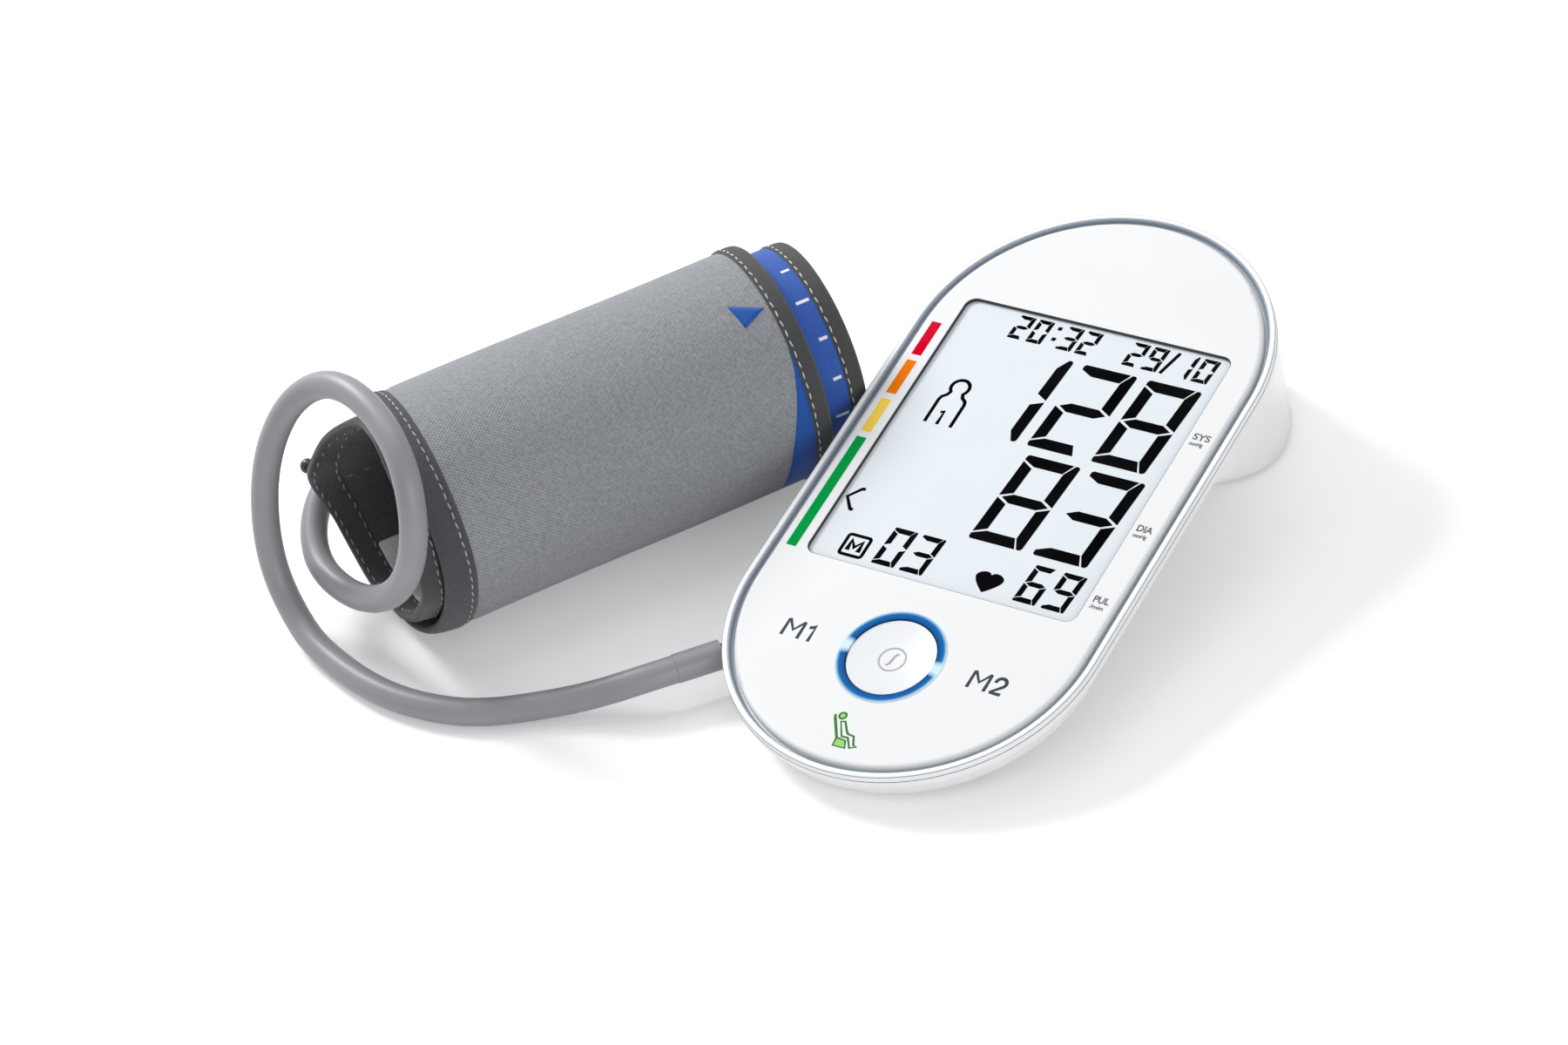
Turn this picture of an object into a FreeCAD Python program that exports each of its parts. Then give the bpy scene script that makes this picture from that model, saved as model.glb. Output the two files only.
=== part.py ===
# Home blood pressure monitor: a tilted table console, a rolled arm cuff and the air hose between them.
# Millimetres. The console's front faces -Y and everything stands on the plane z = 0.
import FreeCAD, Part

import math
import os

from FreeCAD import Placement, Rotation, Vector

# Places on the table
console_place = Vector(60.42, -5.94, 0)
cuff_place = Vector(-45.18, -24.84, 0)
cuff_turn = 58.5                 # degrees from +X to the cuff's axis

# Console outline, seen square to its face
face_tilt = 12.0                 # degrees
console_width = 97.8
straight_shortfall = 1.4         # the straight sides are this much shorter than the display
rim_width = 1.4
rim_edge_round = 0.5
seam_depth = 1.8                 # the front housing's edge, down from the rim's top
lip_depth = 3.2
lip_wall = 0.9                   # rear wall left outside the lip
band_depth = 3.6                 # the rear wall is upright down to here
hull_depth = 11.7
hull_draft = 4.4                 # how much the hull draws in from band to bottom
hull_toe = 1.2                   # the bottom sits this much further forward
hull_bottom_round = 5.0
housing_wall = 2.0
assembly_gap = 0.15
table_gap = 0.4                  # the hull's toe stays this far above the table

# Face plate, trim and deck
trim_depth = 2.2
trim_top_drop = 0.15
trim_top_width = 0.25
trim_slope = 0.9                 # the trim's inner wall leans in by this much
plate_setback = 3.0              # from the console's side to the plate's side
plate_edge_round = 1.2
plate_thickness = 2.6
deck_thickness = 1.8

# Display
display_side = 10.85             # from the console's side to the display
display_height = 87.4
display_centre = 9.8             # up the face from its middle
display_corner = 3.0
display_recess = 1.0
window_flange_width = 1.8
window_flange_thickness = 0.8
lcd_thickness = 2.0
backlight_thickness = 2.0
backlight_margin = 2.2
connector_width = 1.4

# Start button and its light ring
button_from_display = 22.6       # from the display to the button's middle
ring_outer_radius = 13.85
ring_inner_radius = 11.45
ring_proud = 0.15
ring_flange_width = 1.35
ring_flange_thickness = 0.8
ring_skirt = 1.6                 # below the flange's seat
button_gap = 0.25
button_drop = 0.2                # the cap's edge below the face
button_dish = 0.9
button_cap_thickness = 2.0
button_wall = 1.2
button_flange_width = 1.4
button_flange_thickness = 0.8
button_flange_gap = 0.4
button_travel = 0.8
stem_radius = 2.0
plunger_radius = 1.6
switch_width = 6.0
switch_height = 1.5
switch_gap = 0.15
switch_floor = 0.1

# Circuit board and what sits on it
board_thickness = 1.6
board_side = 15.4                # from the console's side to the board
board_from_front = 20.4
board_past_display = 2.5
touch_pad_radius = 2.6
touch_pad_inset = 10.0           # from the board's side
touch_pad_drop = 2.1             # in front of the button's middle
buzzer_radius = 6.0
buzzer_height = 2.2
buzzer_inset = 12.5
buzzer_drop = 9.6                # in front of the display
processor_width = 12.0
memory_width = 6.0
chip_height = 1.0                # the pressed button stays clear of the chips
chip_drop = 10.1
led_width = 1.6
led_height = 0.7

# Screws
screw_radius = 1.25
screw_head_radius = 2.4
screw_head_height = 1.1
screw_hole_gap = 0.06
boss_radius = 3.2
boss_bottom = 8.0                # where the two housings' bosses meet, below the rim
screw_tip = 4.0
front_screw_inset = 27.9         # from the console's side
front_screw_from_front = 15.9
back_screw_from_back = 7.9
front_screw_seat = 10.3
back_screw_seat = 14.0

# Foot
foot_floor = 1.0                 # height of its underside above the table
foot_floor_thickness = 1.8
foot_wall = 1.8
slope_share_top = 1.5            # walls moved in at the sloping front's top, to keep its thickness
slope_share_bottom = 0.4         # and at its bottom
foot_start = 13.5                # where it leaves the hull, up the face
foot_top_corner = 6.0
foot_top_inset = 0.1             # it starts this far inside and below the hull's top edge
foot_side = 10.1                 # in from the rim's side
foot_overhang = 9.8              # past the rim's back end
foot_under_display = 3.5         # its front lies this far under the display's back edge
foot_front_corner = 15.0
foot_bow = 33.7                  # from the ends of the sides to the back
pad_radius = 4.5
back_pad_inset = 6.2
back_pad_ahead = 2.0
front_pad_inset = 23.9
front_pad_from_front = 27.9

# Batteries and their bay
cell_radius = 5.25
cell_body = 43.7
cell_nub = 0.8
cell_nub_radius = 1.9
cell_pitch = 10.7
cell_count = 4
first_cell_inset = 1.6           # from the foot's front to the first cell's middle
cell_lift = 4.25                 # cells above the table
bay_half_width = 25.6
bay_wall = 1.6
bay_roof_gap = 0.45
contact_thickness = 0.4
contact_width = 8.0
spring_wide = 3.4
spring_narrow = 2.0
cover_thickness = 1.6
cover_half_width = 26.0
cover_inset = 5.0                # from the foot's front
cover_gap = 0.2
cover_travel = 12.0
tongue_width = 1.5
tongue_thickness = 0.5
tongue_inset = 2.0               # from the cover's front
tongue_length = 25.0
cover_rib_place = 12.0
cover_rib_width = 2.0

# Air parts
pump_inset = 20.0                # from the foot's front
pump_radius = 9.5
motor_length = 26.0
head_length = 18.0
head_half_height = 9.0
pump_shift = 2.0                 # motor and head meet this far to the left
nipple_radius = 2.2
nipple_length = 4.0
cradle_base = 1.6
cradle_wall = 2.5
cradle_height = 8.2
valve_radius = 5.0
valve_length = 16.0
valve_inset = 2.5
manifold_width = 6.0
manifold_ahead = 1.0             # in front of the foot's front
manifold_length = 26.0
manifold_height = 12.7
sensor_width = 6.0
sensor_height = 4.0
tube_radius = 1.9
tube_bore = 1.0
tube_start_run = 6.0
tube_end_run = 3.5
tube_lane_gap = 2.9              # between the board's side and the tube
tube_lane_back = 21.5            # the lane starts this far in front of the manifold
tube_lane_front = 29.0           # and ends this far behind the socket
tube_sway = 0.4
tube_turn_in = 1.5
tube_turn_behind = 17.0
tube_pocket_inset = 12.4
tube_pocket_behind = 10.5        # behind the socket
tube_pocket_width = 7.0
tube_pocket_length = 11.0
tube_pocket_depth = 1.0

# Hose socket and plug
socket_from_front = 29.9         # from the rim's front end, on the left side
socket_depth = 7.05              # its axis below the rim
socket_heading = 230.0           # degrees from +X on the table, the way the plug leaves
socket_radius = 2.55
socket_bore = 1.8
socket_reach = 4.5               # inwards from the wall
socket_proud = 3.8
spigot_clearance = 0.05
spigot_reach = 4.0
plug_collar_radius = 3.7
plug_collar_length = 12.0
plug_stop_gap = 0.1

# Cuff
cuff_radius = 31.0
cuff_flat = 0.5                  # what the table flattens
cuff_half_length = 49.4
outer_wrap_thickness = 2.1
layer_space = 1.7                # between the two turns, for the layers
inner_wrap_thickness = 2.6
inner_left_end = -66.5
inner_right_end = 61.4
layer_gap = 0.1
layer_left = -38.0
layer_right = 34.0
bladder_turn = 170.0             # degrees of the ring that each inner layer fills
stiffener_turn = 110.0
hook_turn = 70.0
layer_turn_gap = 3.0
binding_width = 5.0
binding_proud = 0.2
band_left = 36.0
band_thickness = 0.3
bar_radius = 1.3
bar_knob_radius = 2.0
bar_rise = 3.0                   # above the cuff's axis, at the back
bar_overhang = 2.5
bar_sleeve_gap = 0.15
bar_sleeve_wall = 0.8
bar_lining = 0.4                 # cloth between the bar's sleeve and the inside of the turn

# Hose and the cuff's nozzle
hose_radius = 3.5
hose_bore = 2.2
nozzle_stand_off = 3.0           # the nozzle's middle, out from the outer turn
nozzle_drop = 5.0                # below the cuff's axis
nozzle_radius = 4.2
nozzle_length = 4.4
nozzle_wrap_gap = 0.7
neck_radius = 1.9
nozzle_straight = 9.0            # the hose leaves the nozzle straight for this far
plug_straight = 7.0

# The hose's route between nozzle and plug, on the table's own axes
hose_points = [
    Vector(-105.83, -72.9, 20.0),
    Vector(-97.63, -82.9, 15.5),
    Vector(-83.03, -89.1, 15.0),
    Vector(-67.73, -94.0, 21.5),
    Vector(-54.73, -97.6, 33.5),
    Vector(-47.93, -98.2, 47.5),
    Vector(-46.43, -96.7, 60.5),
    Vector(-50.63, -92.2, 69.8),
    Vector(-60.33, -85.9, 74.5),
    Vector(-73.23, -80.3, 76.0),
    Vector(-85.53, -77.4, 72.8),
    Vector(-94.93, -79.3, 66.0),
    Vector(-101.43, -82.3, 55.5),
    Vector(-105.53, -85.1, 43.0),
    Vector(-107.13, -87.7, 29.0),
    Vector(-106.03, -89.8, 16.5),
    Vector(-99.93, -93.2, 7.5),
    Vector(-89.33, -98.9, 3.6),
    Vector(-67.93, -106.4, 3.6),
    Vector(-50.73, -107.7, 3.6),
    Vector(-34.53, -104.3, 3.6),
    Vector(-18.13, -94.2, 4.4),
    Vector(-8.13, -88.9, 6.6),
]

# Worked out from the driving dimensions
rim_radius = console_width / 2
half_straight = (display_height - straight_shortfall) / 2
face_end = half_straight + rim_radius
rim_inner = rim_radius - rim_width
lip_radius = rim_radius - lip_wall - assembly_gap
plate_radius = rim_radius - plate_setback
pocket_radius = plate_radius + assembly_gap
deck_bottom = plate_thickness + deck_thickness
display_width = console_width - 2 * display_side
display_bottom = display_centre - display_height / 2
display_top = display_centre + display_height / 2
button_centre = display_bottom - button_from_display
socket_row = socket_from_front - face_end
deck_radius = rim_radius - housing_wall - 4 * assembly_gap
window_bottom = plate_thickness + window_flange_thickness
lcd_bottom = window_bottom + lcd_thickness
board_top = lcd_bottom + backlight_thickness
board_bottom = board_top + board_thickness
board_half_width = rim_radius - board_side
board_front_centre = board_from_front + board_half_width - face_end
board_back = display_top + board_past_display
touch_pad_place = Vector(board_half_width - touch_pad_inset, button_centre - touch_pad_drop, 0)
buzzer_place = Vector(board_half_width - buzzer_inset, display_bottom - buzzer_drop, 0)
chip_row = display_bottom - chip_drop
front_screw_place = Vector(rim_radius - front_screw_inset, front_screw_from_front - face_end, 0)
back_screw_place = Vector(0, face_end - back_screw_from_back, 0)
hull_floor = hull_depth - housing_wall
ring_seat = plate_thickness + ring_flange_thickness
ring_bottom = ring_seat + ring_skirt - ring_flange_thickness
button_radius = ring_inner_radius - button_gap
button_flange_top = ring_bottom + button_flange_gap
button_bottom = button_flange_top + button_flange_thickness
switch_top = board_top - switch_height
stem_bottom = switch_top - button_travel - switch_floor
plunger_bottom = board_top - 2 * switch_floor - button_travel
foot_half_width = rim_radius - foot_side
foot_back = face_end + foot_overhang
foot_front = display_top - foot_under_display
foot_side_end = foot_back - foot_bow
back_pad_place = Vector(foot_half_width - back_pad_inset, foot_side_end - back_pad_ahead, 0)
front_pad_place = Vector(rim_radius - front_pad_inset, front_pad_from_front - face_end, 0)
floor_top = foot_floor + foot_floor_thickness
first_cell = foot_front + first_cell_inset
cover_front = foot_front + cover_inset
tongue_front = cover_front + tongue_inset
tongue_back = tongue_front + tongue_length
pump_place = foot_front + pump_inset
valve_place = foot_front + valve_inset
manifold_front = foot_front - manifold_ahead
manifold_back = manifold_front + manifold_length
tube_pocket_place = Vector(tube_pocket_inset - rim_radius, socket_row + tube_pocket_behind, 0)
cell_height = cell_lift + cell_radius
bay_roof = cell_height + cell_radius + bay_roof_gap
roof_top = bay_roof + bay_wall
pump_height = roof_top + cradle_base + pump_radius
cuff_axis = cuff_radius - cuff_flat
outer_inside = cuff_radius - outer_wrap_thickness
inner_outside = outer_inside - layer_space
inner_inside = inner_outside - inner_wrap_thickness
band_outside = inner_outside + band_thickness


def stadium_wire(radius, level, shift=0.0):
    """The console's outline: two straight sides along the face and a half round at each end."""
    back = half_straight + shift
    front = shift - half_straight
    right_front = Vector(radius, front, level)
    right_back = Vector(radius, back, level)
    left_back = Vector(-radius, back, level)
    left_front = Vector(-radius, front, level)
    edges = [
        Part.makeLine(right_front, right_back),
        Part.Arc(right_back, Vector(0, back + radius, level), left_back).toShape(),
        Part.makeLine(left_back, left_front),
        Part.Arc(left_front, Vector(0, front - radius, level), right_front).toShape(),
    ]
    return Part.Wire(edges)


def stadium_plate(radius, top, bottom):
    """A flat plate of the console's outline between two depths below the rim."""
    face = Part.Face(stadium_wire(radius, -bottom))
    return face.extrude(Vector(0, 0, bottom - top))


def rounded_plate(width, height, corner, top, bottom, centre=0.0):
    """A flat plate with rounded corners between two depths below the rim."""
    plate = Part.makeBox(width, height, bottom - top, Vector(-width / 2, centre - height / 2, -bottom))
    upright = [edge for edge in plate.Edges if abs(edge.BoundBox.ZLength - (bottom - top)) < 1e-6]
    return plate.makeFillet(corner, upright)


def disc(radius, top, bottom, place=Vector(0, 0, 0)):
    """A round post square to the face between two depths below the rim."""
    return Part.makeCylinder(radius, bottom - top, Vector(place.x, place.y, -bottom))


def block(width, length, top, bottom, place=Vector(0, 0, 0)):
    """A square-edged block on the face's axes between two depths below the rim."""
    corner = Vector(place.x - width / 2, place.y - length / 2, -bottom)
    return Part.makeBox(width, length, bottom - top, corner)


def box_between(low, high):
    """A box from its lowest to its highest corner."""
    size = high - low
    return Part.makeBox(size.x, size.y, size.z, low)


def mirrored_pair(place):
    """A place and its mirror image across the console's middle."""
    return [Vector(place.x, place.y, place.z), Vector(-place.x, place.y, place.z)]


def joined(shapes):
    """All the shapes fused, with leftover seams removed."""
    whole = shapes[0].multiFuse(shapes[1:]) if len(shapes) > 1 else shapes[0]
    return whole.removeSplitter()


def level_edges(shape, level):
    """The edges of a shape that lie flat at one height."""
    flat = [edge for edge in shape.Edges if edge.BoundBox.ZLength < 1e-4]
    return [edge for edge in flat if abs(edge.BoundBox.ZMin - level) < 1e-4]


def hull_solid(wall):
    """The shallow hull under the rim, drawn in by one wall thickness for its inside."""
    side = rim_radius - wall
    bottom = hull_depth - wall
    band = stadium_plate(side, seam_depth, band_depth)
    outlines = [
        stadium_wire(side, -band_depth),
        stadium_wire(side - hull_draft, -bottom, -hull_toe),
    ]
    bowl = Part.makeLoft(outlines, True, True)
    bowl = bowl.makeFillet(hull_bottom_round - wall / 2, level_edges(bowl, -bottom))
    return band.fuse(bowl)


hull = hull_solid(0)
hull_turned = hull.copy()
hull_turned.rotate(Vector(0, 0, 0), Vector(1, 0, 0), face_tilt)
face_height = table_gap - hull_turned.optimalBoundingBox(False, False).ZMin
face_frame = Placement(Vector(0, 0, face_height), Rotation(Vector(1, 0, 0), face_tilt))
cuff_frame = Placement(cuff_place, Rotation(Vector(0, 0, 1), cuff_turn))


def tilted(shape):
    """A shape made on the face's axes, leaned back and raised to its height."""
    placed = shape.copy()
    placed.Placement = face_frame.multiply(placed.Placement)
    return placed


def at_console(shape):
    """A console piece moved to the console's place on the table."""
    placed = shape.copy()
    placed.translate(console_place)
    return placed


def on_face(shape):
    """A piece made on the face's axes, at its place on the table."""
    return at_console(tilted(shape))


def at_cuff(shape):
    """A cuff piece turned and moved to the cuff's place on the table."""
    placed = shape.copy()
    placed.Placement = cuff_frame.multiply(placed.Placement)
    return placed


def screw_places():
    """Each screw's place on the face and the depth of its head's seat."""
    places = [(place, front_screw_seat) for place in mirrored_pair(front_screw_place)]
    places.append((back_screw_place, back_screw_seat))
    return places


def front_housing():
    """Rim, groove floor, lip and the deck that carries the plate and the display."""
    rim = stadium_plate(rim_radius, 0, seam_depth)
    rim = rim.makeFillet(rim_edge_round, level_edges(rim, 0))
    lip = stadium_plate(lip_radius, seam_depth, lip_depth)
    deck = stadium_plate(deck_radius, lip_depth, deck_bottom)
    body = joined([rim, lip, deck])
    body = body.cut(stadium_plate(rim_inner, 0, trim_depth))
    body = body.cut(stadium_plate(pocket_radius, 0, plate_thickness))
    bosses = [disc(boss_radius, plate_thickness, boss_bottom, place) for place, seat in screw_places()]
    body = joined([body] + bosses)
    opening_width = display_width + 2 * window_flange_width + 2 * assembly_gap
    opening_height = display_height + 2 * window_flange_width + 2 * assembly_gap
    opening = rounded_plate(opening_width, opening_height, display_corner, 0, hull_depth, display_centre)
    body = body.cut(opening)
    middle = Vector(0, button_centre, 0)
    body = body.cut(disc(ring_outer_radius + ring_flange_width + assembly_gap, 0, ring_seat, middle))
    body = body.cut(disc(ring_outer_radius + assembly_gap, 0, hull_depth, middle))
    for place, seat in screw_places():
        body = body.cut(disc(screw_radius + screw_hole_gap, screw_tip, hull_depth, place))
    return body


def trim_ring():
    """The grey band that lines the groove between rim and plate."""
    outer = stadium_plate(rim_inner - assembly_gap / 3, trim_top_drop, trim_depth)
    inner_top = rim_inner - assembly_gap / 3 - trim_top_width
    outlines = [
        stadium_wire(inner_top, -trim_top_drop),
        stadium_wire(inner_top - trim_slope, -trim_depth),
    ]
    return outer.cut(Part.makeLoft(outlines, True, True))


def face_plate():
    """The white plate with the display's opening and the button's round hole."""
    plate = stadium_plate(plate_radius, 0, plate_thickness)
    plate = plate.makeFillet(plate_edge_round, level_edges(plate, 0))
    opening = rounded_plate(display_width, display_height, display_corner, 0, plate_thickness, display_centre)
    hole = disc(ring_outer_radius + assembly_gap / 3, 0, plate_thickness, Vector(0, button_centre, 0))
    return plate.cut(opening).cut(hole)


def display_window():
    """A clear pane set into the plate, with a flange under the plate's edge."""
    width = display_width - 2 * assembly_gap
    height = display_height - 2 * assembly_gap
    pane = rounded_plate(width, height, display_corner, display_recess, window_bottom, display_centre)
    flange_width = display_width + 2 * window_flange_width
    flange_height = display_height + 2 * window_flange_width
    flange = rounded_plate(
        flange_width,
        flange_height,
        display_corner,
        plate_thickness,
        window_bottom,
        display_centre,
    )
    return joined([pane, flange])


def lcd_panel():
    """The liquid crystal cell under the window."""
    width = display_width + 2 * window_flange_width
    height = display_height + 2 * window_flange_width
    return rounded_plate(width, height, display_corner, window_bottom, lcd_bottom, display_centre)


def backlight_plate():
    """The light guide between the display and the board."""
    width = 2 * board_half_width
    height = display_height + 2 * window_flange_width - 2 * backlight_margin
    return rounded_plate(width, height, display_corner, lcd_bottom, board_top, display_centre)


def lcd_connectors():
    """Two rubber contact strips from the display's top and bottom edges to the board."""
    strip_length = 2 * board_half_width - 2 * backlight_margin
    reach = display_height / 2 + window_flange_width - backlight_margin / 2
    strips = []
    for side in (-1, 1):
        place = Vector(0, display_centre + side * reach, 0)
        strips.append(block(strip_length, connector_width, lcd_bottom, board_top, place))
    return Part.makeCompound(strips)


def circuit_board():
    """One board, round at the front, under the display and the button."""
    straight = block(
        2 * board_half_width,
        board_back - board_front_centre,
        board_top,
        board_bottom,
        Vector(0, (board_back + board_front_centre) / 2, 0),
    )
    nose = disc(board_half_width, board_top, board_bottom, Vector(0, board_front_centre, 0))
    return joined([straight, nose])


def on_board(height):
    """The depth of a board piece's top."""
    return board_top - height


def control_chips():
    """Processor and memory on the board, in front of the display."""
    processor = block(processor_width, processor_width, on_board(chip_height), board_top,
                      Vector(-board_half_width / 2, chip_row, 0))
    memory = block(memory_width, memory_width, on_board(chip_height), board_top,
                   Vector(-board_half_width / 2 + processor_width, chip_row, 0))
    return Part.makeCompound([processor, memory])


def ring_leds():
    """Four lamps that light the button's ring from below."""
    radius = (ring_outer_radius + ring_inner_radius) / 2
    lamps = []
    for quarter in range(4):
        angle = math.radians(45 + 90 * quarter)
        place = Vector(radius * math.cos(angle), button_centre + radius * math.sin(angle), 0)
        lamps.append(block(led_width, led_width, on_board(led_height), board_top, place))
    return Part.makeCompound(lamps)


def button_switch():
    """The snap switch under the button, with a well for its plunger."""
    middle = Vector(0, button_centre, 0)
    case = block(switch_width, switch_width, switch_top, board_top, middle)
    return case.cut(disc(plunger_radius + switch_gap, switch_top, board_top - switch_floor, middle))


def memory_touch_pads():
    """Two sprung foam posts that sense a finger through the deck."""
    return Part.makeCompound([
        disc(touch_pad_radius, deck_bottom, board_top, place) for place in mirrored_pair(touch_pad_place)
    ])


def buzzer():
    """The round sounder on the board, with its sound hole."""
    can = disc(buzzer_radius, on_board(buzzer_height), board_top, buzzer_place)
    hole = disc(buzzer_radius / 6, on_board(buzzer_height), board_top - buzzer_height / 2, buzzer_place)
    return can.cut(hole)


def button_light_ring():
    """The light guide around the button, held by its flange under the plate."""
    middle = Vector(0, button_centre, 0)
    guide = disc(ring_outer_radius, -ring_proud, ring_bottom, middle)
    flange = disc(ring_outer_radius + ring_flange_width, plate_thickness, ring_seat, middle)
    whole = joined([guide, flange])
    return whole.cut(disc(ring_inner_radius, -ring_proud, ring_bottom, middle))


def start_button():
    """The dished cap with its skirt, its stop flange and its stem."""
    middle = Vector(0, button_centre, 0)
    cap = disc(button_radius, button_drop, button_bottom, middle)
    flange = disc(button_radius + button_flange_width, button_flange_top, button_bottom, middle)
    whole = joined([cap, flange])
    inside = button_drop + button_dish + button_cap_thickness
    hollow = disc(button_radius - button_wall, inside, button_bottom, middle)
    whole = whole.cut(hollow)
    ball_radius = (button_radius ** 2 + button_dish ** 2) / (2 * button_dish)
    ball_centre = Vector(0, button_centre, ball_radius - button_drop - button_dish)
    whole = whole.cut(Part.makeSphere(ball_radius, ball_centre))
    stem = disc(stem_radius, inside - button_cap_thickness / 2, stem_bottom, middle)
    return joined([whole, stem])


def switch_plunger():
    """The small post under the stem that works the switch."""
    return disc(plunger_radius, stem_bottom, plunger_bottom, Vector(0, button_centre, 0))


def foot_top_wire(inset):
    """Where the foot leaves the rim: the back of the console's outline with a straight front edge."""
    side = rim_radius - foot_top_inset - inset
    front = foot_start + slope_share_top * inset
    corner = foot_top_corner
    level = -seam_depth - foot_top_inset
    bend = corner * (1 - math.sqrt(0.5))
    slant = side * math.sqrt(0.5)
    back = half_straight + side
    points = {
        "front_left": Vector(corner - side, front, level),
        "front_right": Vector(side - corner, front, level),
        "right_bend": Vector(side - bend, front + bend, level),
        "right_front": Vector(side, front + corner, level),
        "right_back": Vector(side, half_straight, level),
        "right_slant": Vector(slant, half_straight + slant, level),
        "tip": Vector(0, back, level),
        "left_slant": Vector(-slant, half_straight + slant, level),
        "left_back": Vector(-side, half_straight, level),
        "left_front": Vector(-side, front + corner, level),
        "left_bend": Vector(bend - side, front + bend, level),
    }
    return tilted(foot_outline(points))


def foot_bottom_wire(inset, level):
    """The foot's outline on the table: straight front and sides, round front corners, a bowed back."""
    side = foot_half_width - inset
    front = foot_front + slope_share_bottom * inset
    corner = foot_front_corner - inset
    bend = corner * (1 - math.sqrt(0.5))
    back = foot_back - inset
    bow = back - foot_side_end
    bow_radius = (side ** 2 + bow ** 2) / (2 * bow)
    bow_centre = back - bow_radius
    middle_angle = (math.atan2(foot_side_end - bow_centre, side) + math.pi / 2) / 2
    slant_x = bow_radius * math.cos(middle_angle)
    slant_y = bow_centre + bow_radius * math.sin(middle_angle)
    points = {
        "front_left": Vector(corner - side, front, level),
        "front_right": Vector(side - corner, front, level),
        "right_bend": Vector(side - bend, front + bend, level),
        "right_front": Vector(side, front + corner, level),
        "right_back": Vector(side, foot_side_end, level),
        "right_slant": Vector(slant_x, slant_y, level),
        "tip": Vector(0, back, level),
        "left_slant": Vector(-slant_x, slant_y, level),
        "left_back": Vector(-side, foot_side_end, level),
        "left_front": Vector(-side, front + corner, level),
        "left_bend": Vector(bend - side, front + bend, level),
    }
    return foot_outline(points)


def foot_outline(points):
    """One closed outline of lines and arcs through a foot's named points."""
    edges = [
        Part.makeLine(points["front_left"], points["front_right"]),
        Part.Arc(points["front_right"], points["right_bend"], points["right_front"]).toShape(),
        Part.makeLine(points["right_front"], points["right_back"]),
        Part.Arc(points["right_back"], points["right_slant"], points["tip"]).toShape(),
        Part.Arc(points["tip"], points["left_slant"], points["left_back"]).toShape(),
        Part.makeLine(points["left_back"], points["left_front"]),
        Part.Arc(points["left_front"], points["left_bend"], points["front_left"]).toShape(),
    ]
    return Part.Wire(edges)


def foot_solid(inset, level):
    """The foot from the rim down to one height above the table."""
    return Part.makeLoft([foot_top_wire(inset), foot_bottom_wire(inset, level)], True, True)


foot = foot_solid(0, foot_floor)
foot_inside = foot_solid(foot_wall, floor_top)


def hull_side(depth):
    """The hull's outer radius at a depth below the rim, and how far its centre has moved forward."""
    share = max(0.0, depth - band_depth) / (hull_depth - band_depth)
    return rim_radius - hull_draft * share, hull_toe * share


socket_side, socket_toe = hull_side(socket_depth)
socket_ahead = -half_straight - socket_toe - socket_row
socket_left = -math.sqrt(socket_side ** 2 - socket_ahead ** 2)
socket_wall = face_frame.multVec(Vector(socket_left, socket_row, -socket_depth))
socket_out = Vector(math.cos(math.radians(socket_heading)), math.sin(math.radians(socket_heading)), 0)


def along_socket(radius, start, end):
    """A round piece on the socket's axis between two distances out from the wall."""
    return Part.makeCylinder(radius, end - start, socket_wall + socket_out * start, socket_out)


def battery_bay():
    """The roof and side walls that hold the cells inside the foot."""
    outer = bay_half_width + bay_wall
    roof = box_between(Vector(-outer, 0, bay_roof), Vector(outer, foot_back, roof_top))
    walls = [roof]
    for side in (-1, 1):
        near = min(side * bay_half_width, side * outer)
        far = max(side * bay_half_width, side * outer)
        walls.append(box_between(Vector(near, 0, foot_floor), Vector(far, foot_back, roof_top)))
    return joined(walls).common(foot)


def cover_opening():
    """What the battery cover and its tongues pass through, out to the back."""
    side = cover_half_width + cover_gap
    way = box_between(
        Vector(-side, cover_front - cover_gap, 0),
        Vector(side, foot_back + cover_travel, floor_top),
    )
    middle = foot_floor + cover_thickness / 2
    reach = cover_half_width + tongue_width + cover_gap
    groove = box_between(
        Vector(-reach, tongue_front - cover_gap, middle - tongue_thickness / 2 - cover_gap),
        Vector(reach, foot_back + cover_travel, middle + tongue_thickness / 2 + cover_gap),
    )
    return way.fuse(groove)


def rear_housing():
    """Hull and foot in one shell, with the battery bay, the screw posts and the socket's hole."""
    outside = tilted(hull).fuse(foot)
    body = outside.cut(tilted(hull_solid(housing_wall)))
    body = body.cut(foot_inside)
    recess = stadium_plate(lip_radius + assembly_gap, seam_depth, lip_depth + assembly_gap)
    body = body.cut(tilted(recess))
    through = 2 * console_width
    under_bay = box_between(Vector(-through, 0, 0), Vector(through, through, bay_roof))
    posts = [battery_bay()]
    for place, seat in screw_places():
        post = tilted(disc(boss_radius, boss_bottom, through, place))
        posts.append(post.common(outside).cut(under_bay))
    body = joined([body] + posts)
    body = body.cut(cover_opening())
    for place, seat in screw_places():
        body = body.cut(tilted(disc(screw_radius + screw_hole_gap, 0, seat, place)))
        head_way = tilted(disc(screw_head_radius + assembly_gap, seat, through, place))
        keep_floor = box_between(Vector(-through, 0, -through), Vector(through, through, bay_roof - bay_wall))
        body = body.cut(head_way.cut(keep_floor))
    pocket = block(
        tube_pocket_width,
        tube_pocket_length,
        hull_floor - tube_radius,
        hull_floor + tube_pocket_depth,
        tube_pocket_place,
    )
    body = body.cut(tilted(pocket))
    return body.cut(along_socket(socket_radius, -socket_reach - tube_end_run, plug_collar_length))


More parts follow.
